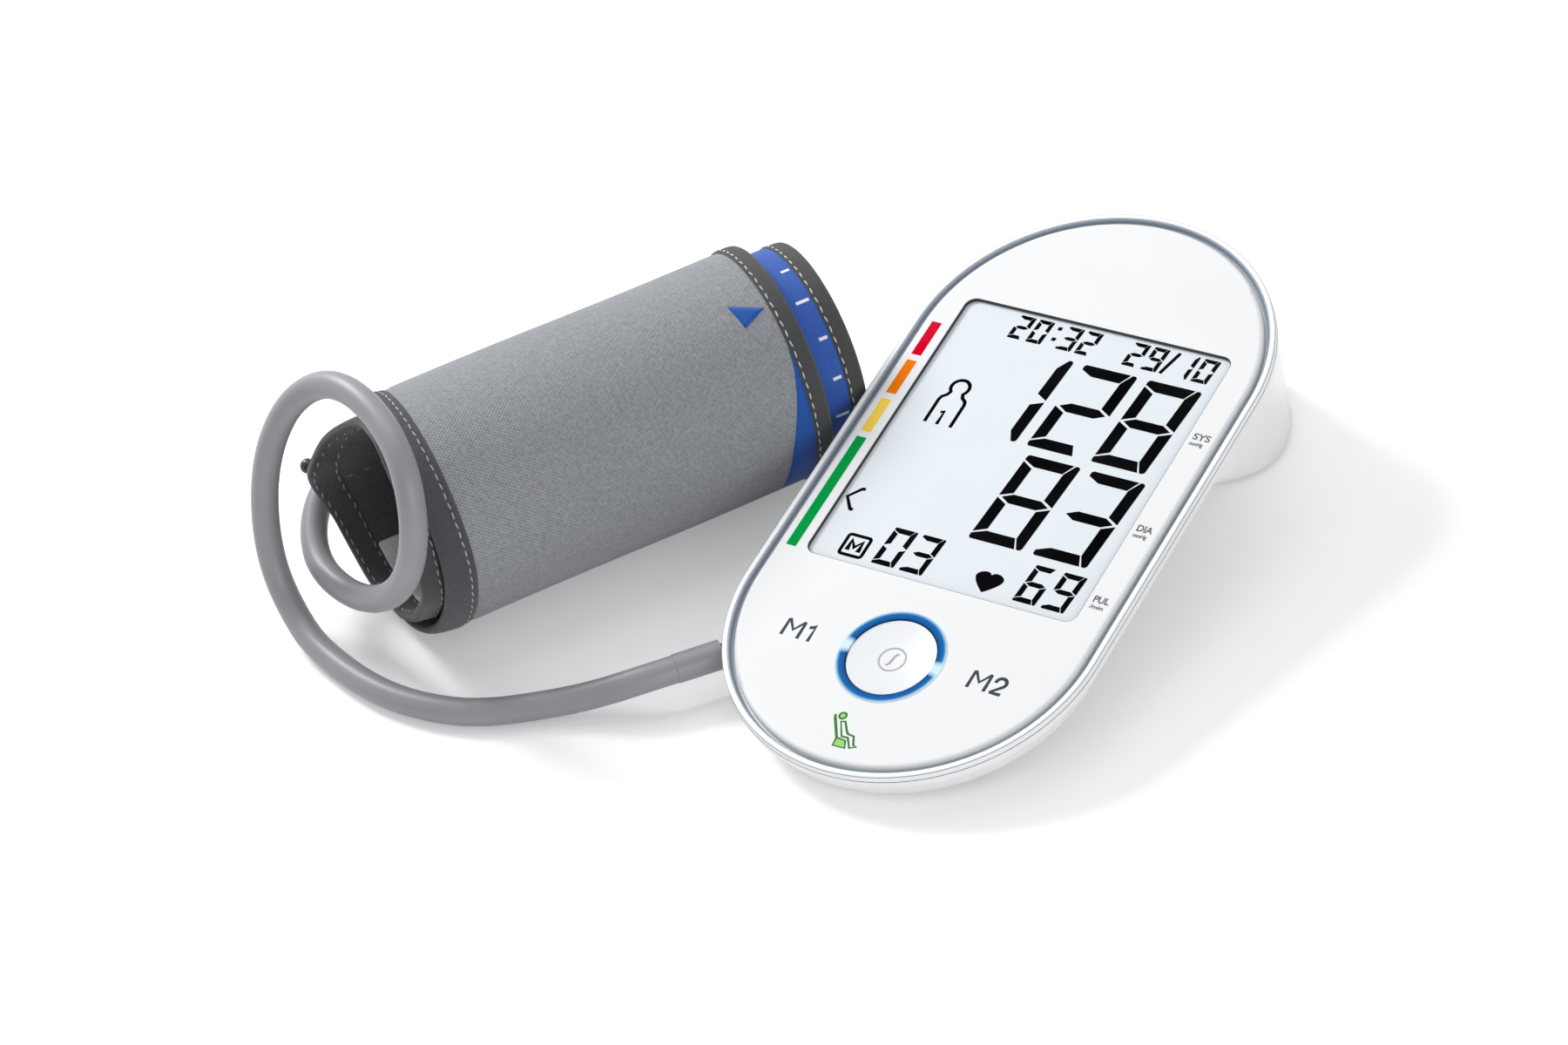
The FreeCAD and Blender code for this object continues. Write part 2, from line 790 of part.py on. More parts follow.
def housing_screws():
    """The screws that hold the two housings together, headed from below."""
    screws = []
    for place, seat in screw_places():
        head = disc(screw_head_radius, seat, seat + screw_head_height, place)
        shank = disc(screw_radius, screw_tip, seat, place)
        screws.append(joined([head, shank]))
    return Part.makeCompound(screws)


def rubber_feet():
    """Two pads under the hull's toe, cut to its slope, and two under the foot."""
    pads = []
    for place in mirrored_pair(front_pad_place):
        post = Part.makeCylinder(pad_radius, hull_depth, place)
        pads.append(post.cut(tilted(stadium_plate(console_width, 0, hull_depth))).Solids[0])
    for place in mirrored_pair(back_pad_place):
        pads.append(Part.makeCylinder(pad_radius, foot_floor, place))
    return Part.makeCompound(pads)


def cell_rows():
    """Each cell's place in the row and the side that its raised end points to."""
    return [(first_cell + number * cell_pitch, 1 if number % 2 else -1) for number in range(cell_count)]


contact_face = bay_half_width - contact_thickness


def batteries():
    """Small round cells lying across the bay, turned end for end."""
    cells = []
    for row, side in cell_rows():
        nub_end = Vector(side * contact_face, row, cell_height)
        inward = Vector(-side, 0, 0)
        nub = Part.makeCylinder(cell_nub_radius, cell_nub, nub_end, inward)
        body = Part.makeCylinder(cell_radius, cell_body, nub_end + inward * cell_nub, inward)
        cells.append(joined([nub, body]))
    return Part.makeCompound(cells)


def battery_contacts():
    """A flat metal plate on the bay's wall at each end of each cell."""
    plates = []
    for row, side in cell_rows():
        for wall in (-1, 1):
            near = min(wall * contact_face, wall * bay_half_width)
            far = max(wall * contact_face, wall * bay_half_width)
            low = Vector(near, row - contact_width / 2, cell_height - contact_width / 2)
            high = Vector(far, row + contact_width / 2, cell_height + contact_width / 2)
            plates.append(box_between(low, high))
    return Part.makeCompound(plates)


def battery_springs():
    """A cone spring at each cell's flat end, shown as its outer shape."""
    springs = []
    length = 2 * contact_face - cell_nub - cell_body
    for row, side in cell_rows():
        start = Vector(-side * contact_face, row, cell_height)
        springs.append(Part.makeCone(spring_wide, spring_narrow, length, start, Vector(side, 0, 0)))
    return Part.makeCompound(springs)


def battery_cover():
    """A flat cover that follows the foot's back edge, with side tongues and ribs under the cells."""
    slab = box_between(
        Vector(-cover_half_width, cover_front, foot_floor),
        Vector(cover_half_width, foot_back, foot_floor + cover_thickness),
    ).common(foot)
    middle = foot_floor + cover_thickness / 2
    reach = cover_half_width + tongue_width
    tongues = box_between(
        Vector(-reach, tongue_front, middle - tongue_thickness / 2),
        Vector(reach, tongue_back, middle + tongue_thickness / 2),
    )
    rib_top = cell_lift - cover_gap
    pieces = [slab, tongues]
    for side in (-1, 1):
        low = Vector(side * cover_rib_place - cover_rib_width / 2, tongue_front, middle)
        high = Vector(side * cover_rib_place + cover_rib_width / 2, tongue_back, rib_top)
        pieces.append(box_between(low, high))
    return joined(pieces)


def pump_motor():
    """The round motor of the air pump, lying across the foot."""
    start = Vector(-pump_shift, pump_place, pump_height)
    return Part.makeCylinder(pump_radius, motor_length, start, Vector(1, 0, 0))


head_left = -pump_shift - head_length


def pump_head():
    """The square diaphragm head of the pump, with its outlet."""
    case = box_between(
        Vector(head_left, pump_place - head_half_height, pump_height - head_half_height),
        Vector(-pump_shift, pump_place + head_half_height, pump_height + head_half_height),
    )
    outlet_start = Vector(head_left, pump_place, pump_height)
    outlet = Part.makeCylinder(nipple_radius, nipple_length, outlet_start, Vector(-1, 0, 0))
    return joined([case, outlet])


def pump_cradle():
    """The rubber bed that carries the pump on the bay's roof."""
    half = pump_radius + cradle_wall
    bed = box_between(
        Vector(head_left, pump_place - half, roof_top),
        Vector(motor_length - pump_shift, pump_place + half, roof_top + cradle_height),
    )
    head_room = box_between(
        Vector(head_left, pump_place - head_half_height, pump_height - head_half_height),
        Vector(-pump_shift, pump_place + head_half_height, face_height * 2),
    )
    return bed.cut(pump_motor()).cut(head_room)


manifold_right = head_left - nipple_length


def release_valve():
    """The valve that lets the air out, lying in front of the pump."""
    start = Vector(manifold_right, valve_place, roof_top + valve_radius)
    return Part.makeCylinder(valve_radius, valve_length, start, Vector(1, 0, 0))


def air_manifold():
    """The block that joins pump, valve, sensor and tube."""
    return box_between(
        Vector(manifold_right - manifold_width, manifold_front, roof_top),
        Vector(manifold_right, manifold_back, roof_top + manifold_height),
    )


def pressure_sensor():
    """The sensor that sits on the manifold."""
    middle = manifold_right - manifold_width / 2
    low = Vector(middle - sensor_width / 2, pump_place - sensor_width / 2, roof_top + manifold_height)
    return Part.makeBox(sensor_width, sensor_width, sensor_height, low)


def rounded_path(points, name):
    """Straight runs with the largest tangent arcs that fit, and the tightest radius printed."""
    edges = []
    start = points[0]
    radii = []
    for before, corner, after in zip(points, points[1:], points[2:]):
        back = before - corner
        ahead = after - corner
        turn = math.pi - back.getAngle(ahead)
        trim = 0.45 * min(back.Length, ahead.Length)
        radius = trim / math.tan(turn / 2)
        arc_start = corner + back.normalize() * trim
        arc_end = corner + ahead.normalize() * trim
        bisector = (back + ahead).normalize()
        arc_middle = corner + bisector * (radius / math.cos(turn / 2) - radius)
        edges.append(Part.makeLine(start, arc_start))
        edges.append(Part.Arc(arc_start, arc_middle, arc_end).toShape())
        start = arc_end
        radii.append(radius)
    edges.append(Part.makeLine(start, points[-1]))
    print(name, "radii", [round(radius, 1) for radius in radii])
    return Part.Wire(edges)


def tube_along(points, radius, bore, name):
    """A round tube of steady section along a rounded path, with its volume compared."""
    path = rounded_path(points, name)
    heading = points[1] - points[0]
    outside = path.makePipeShell([Part.Wire(Part.makeCircle(radius, points[0], heading))], True, False)
    inside = path.makePipeShell([Part.Wire(Part.makeCircle(bore, points[0], heading))], True, False)
    tube = outside.cut(inside).Solids[0]
    expected = math.pi * (radius ** 2 - bore ** 2) * path.Length
    print(name, "length", round(path.Length, 1))
    print(name, "volume", round(tube.Volume, 1), "section times length", round(expected, 1))
    return tube


def main_air_tube():
    """The soft tube from the manifold along the left side to the hose socket."""
    middle = manifold_right - manifold_width / 2
    lane = -(board_half_width + tube_radius + tube_lane_gap)
    depth = -(lcd_bottom + tube_radius + assembly_gap)
    start = Vector(middle, manifold_front, roof_top + manifold_height / 2)
    socket_end = socket_wall - socket_out * socket_reach
    lane_back = manifold_front - tube_lane_back
    lane_front = socket_row + tube_lane_front
    lane_length = lane_back - lane_front
    along_side = [
        Vector(lane, lane_back, depth),
        Vector(lane + tube_sway, lane_back - 0.37 * lane_length, depth),
        Vector(lane, lane_back - 0.7 * lane_length, depth),
        Vector(lane + tube_sway, lane_front, depth),
        Vector(lane + tube_turn_in, socket_row + tube_turn_behind, depth),
    ]
    points = [start, start + Vector(0, -tube_start_run, 0)]
    points.append(Vector(lane, manifold_front - 2 * tube_start_run, start.z + 1))
    points.extend(face_frame.multVec(point) for point in along_side)
    points.append(socket_end - socket_out * tube_end_run)
    points.append(socket_end)
    return tube_along(points, tube_radius, tube_bore, "main_air_tube")


def hose_socket():
    """The socket in the console's left side that takes the hose's plug."""
    body = along_socket(socket_radius, -socket_reach, socket_proud)
    return body.cut(along_socket(socket_bore, -socket_reach, socket_proud))


plug_start = socket_proud + plug_stop_gap
plug_end = plug_start + plug_collar_length


def hose_plug():
    """A smooth collar on the hose's end with the spigot that enters the socket."""
    collar = along_socket(plug_collar_radius, plug_start, plug_end)
    collar = collar.makeFillet(plug_collar_radius - hose_radius, [collar.Edges[0]])
    spigot = along_socket(socket_bore - spigot_clearance, -spigot_reach, plug_start + 1)
    return joined([collar, spigot])


def cuff_tube(outer, inner, left, right):
    """A round wall of the rolled cuff between two places along its axis, flat where it lies."""
    length = right - left
    start = Vector(left, 0, cuff_axis)
    along = Vector(1, 0, 0)
    wall = Part.makeCylinder(outer, length, start, along).cut(Part.makeCylinder(inner, length, start, along))
    below = box_between(Vector(left, -outer, -outer), Vector(right, outer, 0))
    return wall.cut(below)


def cuff_layer(first_angle, turn):
    """A curved sheet between the two wraps that fills part of the ring."""
    start = Vector(layer_left, 0, cuff_axis)
    length = layer_right - layer_left
    along = Vector(1, 0, 0)
    outer = Part.makeCylinder(outer_inside - layer_gap, length, start, along, turn)
    inner = Part.makeCylinder(inner_outside + band_thickness + layer_gap, length, start, along, turn)
    sheet = outer.cut(inner)
    sheet.rotate(start, along, first_angle)
    return sheet


bar_distance = outer_inside + bar_lining + bar_sleeve_gap + bar_radius
bar_place = Vector(0, math.sqrt(bar_distance ** 2 - bar_rise ** 2), cuff_axis + bar_rise)
bar_left = inner_left_end - bar_overhang
bar_right = inner_right_end + bar_overhang


def bar_shape(radius, left, right):
    """A plain rod on the bar's line."""
    start = Vector(left, bar_place.y, bar_place.z)
    return Part.makeCylinder(radius, right - left, start, Vector(1, 0, 0))


def sleeved_wrap(radius, left, right):
    """A length of the outer turn with the ridge that holds the bar."""
    hole = bar_radius + bar_sleeve_gap
    ridge = bar_shape(hole + bar_sleeve_wall, left, right)
    inside = Part.makeCylinder(outer_inside, right - left, Vector(left, 0, cuff_axis), Vector(1, 0, 0))
    wall = joined([cuff_tube(radius, outer_inside, left, right), ridge.cut(inside)])
    return wall.cut(bar_shape(hole, left, right))


def cuff_outer_wrap():
    """The grey outer turn of the cuff, with a sleeve for the bar."""
    return sleeved_wrap(cuff_radius, -cuff_half_length, cuff_half_length - binding_width)


def cuff_outer_binding():
    """The dark tape that edges the outer turn's right end."""
    return sleeved_wrap(cuff_radius + binding_proud, cuff_half_length - binding_width, cuff_half_length)


def cuff_inner_wrap():
    """The inner turn that goes round the arm."""
    return cuff_tube(inner_outside, inner_inside, inner_left_end, inner_right_end - binding_width)


def cuff_inner_binding():
    """The dark tape that edges the inner turn's right end."""
    return cuff_tube(band_outside, inner_inside, inner_right_end - binding_width, inner_right_end)


def cuff_index_band():
    """The blue index band round the inner turn."""
    return cuff_tube(band_outside, inner_outside, band_left, inner_right_end - binding_width)


def cuff_bar():
    """The metal bar that the cuff's end passes round, with a knob at each end."""
    rod = bar_shape(bar_radius, bar_left, bar_right)
    knobs = [Part.makeSphere(bar_knob_radius, bar_place + Vector(end, 0, 0)) for end in (bar_left, bar_right)]
    return joined([rod] + knobs)


nozzle_right = -cuff_half_length - nozzle_wrap_gap
nozzle_left = nozzle_right - nozzle_length
nozzle_offset = cuff_radius + nozzle_stand_off
nozzle_reach = math.hypot(nozzle_offset, nozzle_drop)
nozzle_out = Vector(0, nozzle_offset / nozzle_reach, -nozzle_drop / nozzle_reach)


def cuff_nozzle():
    """The elbow on the inner turn that the hose is fixed to."""
    middle = Vector(0, 0, cuff_axis) + nozzle_out * nozzle_reach
    along = Vector(1, 0, 0)
    body = Part.makeCylinder(nozzle_radius, nozzle_length, middle + along * nozzle_left, along)
    neck_start = Vector((nozzle_left + nozzle_right) / 2, 0, cuff_axis)
    neck = Part.makeCylinder(neck_radius, nozzle_reach, neck_start, nozzle_out)
    whole = joined([body, neck])
    turn_length = inner_right_end - inner_left_end
    turn = Part.makeCylinder(inner_outside, turn_length, Vector(inner_left_end, 0, cuff_axis), along)
    return whole.cut(turn)


def air_hose():
    """The free hose from the cuff's nozzle, through its standing loop, to the console's plug."""
    middle = Vector(0, 0, cuff_axis) + nozzle_out * nozzle_reach
    start = [cuff_frame.multVec(middle + Vector(nozzle_left - ahead, 0, 0)) for ahead in (0, nozzle_straight)]
    end = [
        socket_wall + socket_out * (plug_end + ahead) + console_place
        for ahead in (plug_straight, 0)
    ]
    route = start + hose_points + end
    print("hose ends", [tuple(round(c, 2) for c in point) for point in start + end])
    return tube_along(route, hose_radius, hose_bore, "air_hose")


hook_start = bladder_turn + layer_turn_gap
stiffener_start = hook_start + hook_turn + layer_turn_gap

nodes = {
    "front_housing": on_face(front_housing()),
    "rear_housing": at_console(rear_housing()),
    "trim_ring": on_face(trim_ring()),
    "face_plate": on_face(face_plate()),
    "display_window": on_face(display_window()),
    "lcd_panel": on_face(lcd_panel()),
    "backlight_plate": on_face(backlight_plate()),
    "lcd_connectors": on_face(lcd_connectors()),
    "circuit_board": on_face(circuit_board()),
    "control_chips": on_face(control_chips()),
    "ring_leds": on_face(ring_leds()),
    "button_switch": on_face(button_switch()),
    "memory_touch_pads": on_face(memory_touch_pads()),
    "buzzer": on_face(buzzer()),
    "button_light_ring": on_face(button_light_ring()),
    "start_button": on_face(start_button()),
    "switch_plunger": on_face(switch_plunger()),
    "housing_screws": on_face(housing_screws()),
    "rubber_feet": at_console(rubber_feet()),
    "batteries": at_console(batteries()),
    "battery_contacts": at_console(battery_contacts()),
    "battery_springs": at_console(battery_springs()),
    "battery_cover": at_console(battery_cover()),
    "pump_motor": at_console(pump_motor()),
    "pump_head": at_console(pump_head()),
    "pump_cradle": at_console(pump_cradle()),
    "release_valve": at_console(release_valve()),
    "air_manifold": at_console(air_manifold()),
    "pressure_sensor": at_console(pressure_sensor()),
    "main_air_tube": at_console(main_air_tube()),
    "hose_socket": at_console(hose_socket()),
    "hose_plug": at_console(hose_plug()),
    "air_hose": air_hose(),
    "cuff_outer_wrap": at_cuff(cuff_outer_wrap()),
    "cuff_outer_binding": at_cuff(cuff_outer_binding()),
    "cuff_inner_wrap": at_cuff(cuff_inner_wrap()),
    "cuff_inner_binding": at_cuff(cuff_inner_binding()),
    "cuff_index_band": at_cuff(cuff_index_band()),
    "cuff_bladder": at_cuff(cuff_layer(0, bladder_turn)),
    "cuff_hook_patch": at_cuff(cuff_layer(hook_start, hook_turn)),
    "cuff_stiffener": at_cuff(cuff_layer(stiffener_start, stiffener_turn)),
    "cuff_bar": at_cuff(cuff_bar()),
    "cuff_nozzle": at_cuff(cuff_nozzle()),
}

os.makedirs("parts", exist_ok=True)
for name, shape in nodes.items():
    shape.exportStep("parts/" + name + ".step")
    print(name, "solids", len(shape.Solids), "valid", shape.isValid(), "volume", round(shape.Volume, 1))
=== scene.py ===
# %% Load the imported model
import math

import bmesh
import bpy
from mathutils import Matrix, Vector


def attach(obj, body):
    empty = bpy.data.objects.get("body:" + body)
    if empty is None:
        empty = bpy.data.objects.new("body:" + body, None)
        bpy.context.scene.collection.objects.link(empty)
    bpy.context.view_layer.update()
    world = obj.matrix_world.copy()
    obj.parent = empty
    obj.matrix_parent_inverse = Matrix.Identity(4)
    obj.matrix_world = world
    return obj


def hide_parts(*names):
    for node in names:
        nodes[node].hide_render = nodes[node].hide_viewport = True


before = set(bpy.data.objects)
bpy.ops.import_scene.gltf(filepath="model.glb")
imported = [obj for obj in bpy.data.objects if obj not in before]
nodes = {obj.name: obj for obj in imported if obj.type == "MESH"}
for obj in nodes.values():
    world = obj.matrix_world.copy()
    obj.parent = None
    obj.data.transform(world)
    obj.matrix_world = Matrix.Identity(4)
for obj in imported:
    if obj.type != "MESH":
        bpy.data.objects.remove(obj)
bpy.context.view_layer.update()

scene = bpy.context.scene
scene.view_settings.view_transform = "Standard"
mm = 0.001

# %% [markdown]
# The camera comes first, because every later choice is judged through it.
# It stands to the right of the monitor, above the table, and leans a little, so the console rises to
# the upper right as it does in the picture. Three unit vectors (right, up, back) make its matrix, which
# is easier to check than three angles. The lens is long, so the console's sides stay nearly parallel.

# %% Camera
camera_right = (0.8354, 0.5279, -0.1532)
camera_up = (-0.2264, 0.5844, 0.7792)
camera_back = (0.5009, -0.6163, 0.6077)
camera_place = (0.60452, -0.76054, 0.74159)
camera = bpy.data.objects.new("camera", bpy.data.cameras.new("camera"))
scene.collection.objects.link(camera)
camera_turn = Matrix((camera_right, camera_up, camera_back)).transposed().to_4x4()
camera.matrix_world = Matrix.Translation(camera_place) @ camera_turn
camera.data.lens = 110.2
camera.data.sensor_width = 36
scene.camera = camera
print("camera", [round(c, 3) for c in camera_place], "lens", camera.data.lens)

# %% [markdown]
# Two places are needed again and again: the console's face, which leans back, and the cuff, which is
# turned on the table. Each gets a matrix, so a piece can be drawn on its own simple axes and then moved
# there. The face's height is measured from the plate itself: it is the highest point square to the face.

# %% The face's frame and the cuff's frame
face_tilt = math.radians(12)
face_turn = Matrix.Rotation(face_tilt, 4, "X")
face_out = face_turn @ Vector((0, 0, 1))
face_middle = Vector((0.06042, -0.00594, 0))
plate_reach = max(vertex.co.dot(face_out) for vertex in nodes["face_plate"].data.vertices)
face_middle.z = (plate_reach - face_middle.dot(face_out)) / face_out.z
on_face = Matrix.Translation(face_middle) @ face_turn

cuff_turn = math.radians(58.5)
cuff_place = (-0.04518, -0.02484, 30.5 * mm)
on_cuff = Matrix.Translation(cuff_place) @ Matrix.Rotation(cuff_turn, 4, "Z")
print("face height", round(face_middle.z * 1000, 3), "mm")

# %% [markdown]
# Materials are node trees. A few helpers keep them short: an input that comes from another node is linked,
# and a plain value is set on the socket itself.


# %% Node helpers
def new_finish(name):
    """A new material, its node tree and its Principled shader."""
    material = bpy.data.materials.new(name)
    material.use_nodes = True
    return material, material.node_tree, material.node_tree.nodes["Principled BSDF"]


def feed(tree, node, inputs):
    """Each input is linked if it is another node's output, and set if it is a plain value."""
    for socket, value in inputs.items():
        if isinstance(value, bpy.types.NodeSocket):
            tree.links.new(value, node.inputs[socket])
        else:
            node.inputs[socket].default_value = value


def add_node(tree, kind, inputs, operation=None):
    """A new shader node with its inputs."""
    made = tree.nodes.new("ShaderNode" + kind)
    if operation:
        made.operation = operation
    feed(tree, made, inputs)
    return made


def math_node(tree, operation, *values):
    """The result of one calculation."""
    return add_node(tree, "Math", dict(enumerate(values)), operation).outputs[0]


def remap(tree, value, start=(0, 1), end=(0, 1)):
    """A value taken from one range to another."""
    ends = {"From Min": start[0], "From Max": start[1], "To Min": end[0], "To Max": end[1]}
    return add_node(tree, "MapRange", {"Value": value, **ends}).outputs["Result"]


def noise(tree, scale, detail):
    """A noise on Object coordinates."""
    place = add_node(tree, "TexCoord", {}).outputs["Object"]
    return add_node(tree, "TexNoise", {"Vector": place, "Scale": scale, "Detail": detail}).outputs["Fac"]


def ramp(tree, share, stops):
    """The colour that a ramp gives for a share. Stops are (position, colour), in order."""
    made = add_node(tree, "ValToRGB", {"Fac": share})
    first, *middle, last = stops
    for element, (position, colour) in zip(made.color_ramp.elements, (first, last)):
        element.position, element.color = position, colour
    for position, colour in middle:
        made.color_ramp.elements.new(position).color = colour
    return made.outputs["Color"]


# %% [markdown]
# Moulded plastic and rubber are never one flat colour in real light. This finish has a noise on Object
# coordinates that varies the colour and the roughness a little, and a finer one that feeds a small bump.


# %% A moulded finish
def moulded(name, colour, roughness, shift=0.03, grain=900, bump=0.04, **sockets):
    """A plastic or rubber finish: slight colour and gloss variation with a fine grain."""
    material, tree, shader = new_finish(name)
    cloud = noise(tree, 60, 3)
    dark = [max(0, c - shift) for c in colour] + [1]
    light = [min(1, c + shift) for c in colour] + [1]
    gloss = remap(tree, cloud, end=(roughness * 0.88, roughness * 1.12))
    fine = noise(tree, grain, 2)
    relief = add_node(tree, "Bump", {"Strength": bump, "Distance": 0.0004, "Height": fine})
    feed(tree, shader, {
        "Base Color": ramp(tree, cloud, [(0.3, dark), (0.7, light)]), "Roughness": gloss,
        "Normal": relief.outputs["Normal"]})
    feed(tree, shader, {socket.replace("_", " "): value for socket, value in sockets.items()})
    return material


def ink(name, colour, roughness=0.6, shift=0.01, shine=0.1):
    """A printed finish: no grain, and little shine."""
    return moulded(name, colour, roughness, shift, bump=0.0, Specular_IOR_Level=shine)


def dress(material, *names):
    """CAD nodes keep their shapes and take a new finish."""
    for name in names:
        nodes[name].data.materials.clear()
        nodes[name].data.materials.append(material)


# %% [markdown]
# The air hose is a soft grey tube, about 360 mm long, that leaves the cuff's nozzle, makes one standing
# loop and runs along the table into the console. A tube like this is one smooth line, so it is a NURBS
# curve with a round bevel. The order is set after the points are added, because a new spline has too few
# points to accept it before.

# %% Air hose
hose_route = [
    (-102.65, -53.54, 25.5), (-107.35, -61.22, 25.5), (-105.83, -72.9, 20.0), (-97.63, -82.9, 15.5),
    (-83.03, -89.1, 15.0), (-67.73, -94.0, 21.5), (-54.73, -97.6, 33.5), (-47.93, -98.2, 47.5),
    (-46.43, -96.7, 60.5), (-50.63, -92.2, 69.8), (-60.33, -85.9, 74.5), (-73.23, -80.3, 76.0),
    (-85.53, -77.4, 72.8), (-94.93, -79.3, 66.0), (-101.43, -82.3, 55.5), (-105.53, -85.1, 43.0),
    (-107.13, -87.7, 29.0), (-106.03, -89.8, 16.5), (-99.93, -93.2, 7.5), (-89.33, -98.9, 3.6),
    (-67.93, -106.4, 3.6), (-50.73, -107.7, 3.6), (-34.53, -104.3, 3.6), (-18.13, -94.2, 4.4),
    (-8.13, -88.9, 6.6), (2.46, -82.66, 9.9), (6.96, -77.3, 9.9),
]
hose_radius = 3.5 * mm
hose_curve = bpy.data.curves.new("air_hose_tube", "CURVE")
hose_curve.dimensions = "3D"
hose_line = hose_curve.splines.new("NURBS")
hose_line.points.add(len(hose_route) - 1)
for point, place in zip(hose_line.points, hose_route):
    point.co = (*[c * mm for c in place], 1)
hose_line.order_u = 3
hose_line.use_endpoint_u = True
hose_line.resolution_u = 12
hose_curve.bevel_depth = hose_radius
hose_curve.bevel_resolution = 8
hose = bpy.data.objects.new("air_hose_tube", hose_curve)
scene.collection.objects.link(hose)
hose_rubber = moulded("hose_rubber", (0.27, 0.28, 0.295), 0.42, shift=0.012, grain=1400, bump=0.05)
hose_curve.materials.append(hose_rubber)
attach(hose, "cuff_set")
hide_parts("air_hose")
print("hose points", len(hose_route))

# %% [markdown]
# The rigid console is already right in CAD, so its parts keep their shapes and only take finishes. The
# housing is glossy white plastic, the band between rim and plate is a cooler grey, and the inside parts
# get plain workshop finishes: green board, black mouldings, bright metal, printed cell jackets.

# %% Console finishes
dress(moulded("white_gloss", (0.88, 0.89, 0.905), 0.24, shift=0.006, bump=0.012),
      "front_housing", "rear_housing", "battery_cover")
dress(moulded("face_white", (0.83, 0.84, 0.855), 0.42, shift=0.006, bump=0.008, Specular_IOR_Level=0.2),
      "face_plate")
trim_grey = moulded("trim_grey", (0.36, 0.40, 0.45), 0.3, shift=0.02)
dress(trim_grey, "trim_ring")
dress(ink("screen_pale", (0.735, 0.785, 0.83), 0.4, 0.006, 0.2), "display_window")
dress(moulded("panel_pale", (0.7, 0.76, 0.8), 0.3, shift=0.01),
      "lcd_panel", "backlight_plate", "cuff_stiffener")
dress(moulded("board_green", (0.02, 0.16, 0.06), 0.35, shift=0.015), "circuit_board")
dress(moulded("part_black", (0.02, 0.02, 0.022), 0.4, shift=0.006),
      "control_chips", "button_switch", "buzzer", "switch_plunger", "pump_head", "release_valve",
      "air_manifold", "pressure_sensor", "hose_socket")
dress(moulded("rubber_dark", (0.05, 0.05, 0.055), 0.7, shift=0.01, bump=0.1),
      "lcd_connectors", "memory_touch_pads", "rubber_feet", "pump_cradle")
dress(moulded("lamp_milk", (0.7, 0.75, 0.8), 0.3), "ring_leds")
dress(moulded("tube_clear", (0.6, 0.65, 0.68), 0.2, shift=0.02), "main_air_tube")
dress(moulded("metal_bright", (0.62, 0.62, 0.63), 0.28, Metallic=1.0),
      "housing_screws", "battery_contacts", "battery_springs", "pump_motor")
dress(moulded("metal_dark", (0.045, 0.047, 0.05), 0.25, shift=0.01, Metallic=0.6), "cuff_bar")
dress(moulded("cell_jacket", (0.05, 0.06, 0.09), 0.3), "batteries")
dress(moulded("button_white", (0.78, 0.80, 0.83), 0.3, shift=0.006, bump=0.01), "start_button")
dress(moulded("nozzle_grey", (0.15, 0.155, 0.165), 0.4, shift=0.01), "cuff_nozzle")
dress(hose_rubber, "hose_plug")
print("finishes so far", len(bpy.data.materials))

# %% [markdown]
# The groove between rim and plate is lined by a sloping band. It is the same plastic all over, but its foot
# lies against the white plate and picks up its light, and a shade runs along its middle; both are painted
# into the band's colour. The height square to the face, read from Object coordinates, drives the ramp that
# paints them from the foot to the top of the band.

# %% Trim band
rim_reach = max(vertex.co.dot(face_out) for vertex in nodes["front_housing"].data.vertices)
band_low, band_high = rim_reach - 2.2 * mm, rim_reach - 0.15 * mm
# Painted light at the foot of the band, painted shade along its middle.
band_light_and_shade_stops = [
    (0, (0.6, 0.65, 0.7, 1)), (0.35, (0.5, 0.56, 0.62, 1)), (0.55, (0.16, 0.2, 0.26, 1)),
    (0.7, (0.2, 0.24, 0.3, 1)), (1, (0.36, 0.41, 0.47, 1)),
]
tree = trim_grey.node_tree
place = add_node(tree, "TexCoord", {}).outputs["Object"]
height = add_node(tree, "VectorMath", {0: place, 1: face_out}, "DOT_PRODUCT").outputs["Value"]
level = remap(tree, height, (band_low, band_high))
feed(tree, tree.nodes["Principled BSDF"], {"Base Color": ramp(tree, level, band_light_and_shade_stops)})
print("rim stands", round((rim_reach - plate_reach) / mm, 2), "mm above the plate")

# %% [markdown]
# The blue ring round the button is a light guide: a clear ring with lamps below it. So it is deep blue
# along its middle, paler at its outer edge, darker at its inner edge, where painted shade stands for the
# gap by the button, and nearly white over the two side lamps, where painted glints stand for their light.
# Its colour comes from places, not from the camera: the distance from the button's middle drives one ramp,
# and how far a point lies to the side drives the glints.

# %% Light ring
button_row = -56.5
button_middle = on_face @ Vector((0, button_row * mm, 0))
ring_inside, ring_outside = 11.4 * mm, 13.9 * mm
glint_start, glint_full = 0.98, 0.998
# The first stop darkens the inner edge: painted shade in the gap by the button.
ring_stops = [
    (0, (0.004, 0.05, 0.16, 1)), (0.2, (0.002, 0.085, 0.31, 1)), (0.62, (0.003, 0.13, 0.4, 1)),
    (0.8, (0.2, 0.42, 0.64, 1)), (1, (0.72, 0.78, 0.83, 1)),
]
ring_glow, tree, shader = new_finish("ring_glow")
place = add_node(tree, "TexCoord", {}).outputs["Object"]
offset = add_node(tree, "VectorMath", {0: place, 1: button_middle}, "SUBTRACT").outputs["Vector"]
distance = add_node(tree, "VectorMath", {0: offset}, "LENGTH").outputs["Value"]
across = remap(tree, distance, (ring_inside, ring_outside))
axes = add_node(tree, "SeparateXYZ", {"Vector": offset})
sideways = math_node(tree, "DIVIDE", math_node(tree, "ABSOLUTE", axes.outputs["X"]), distance)
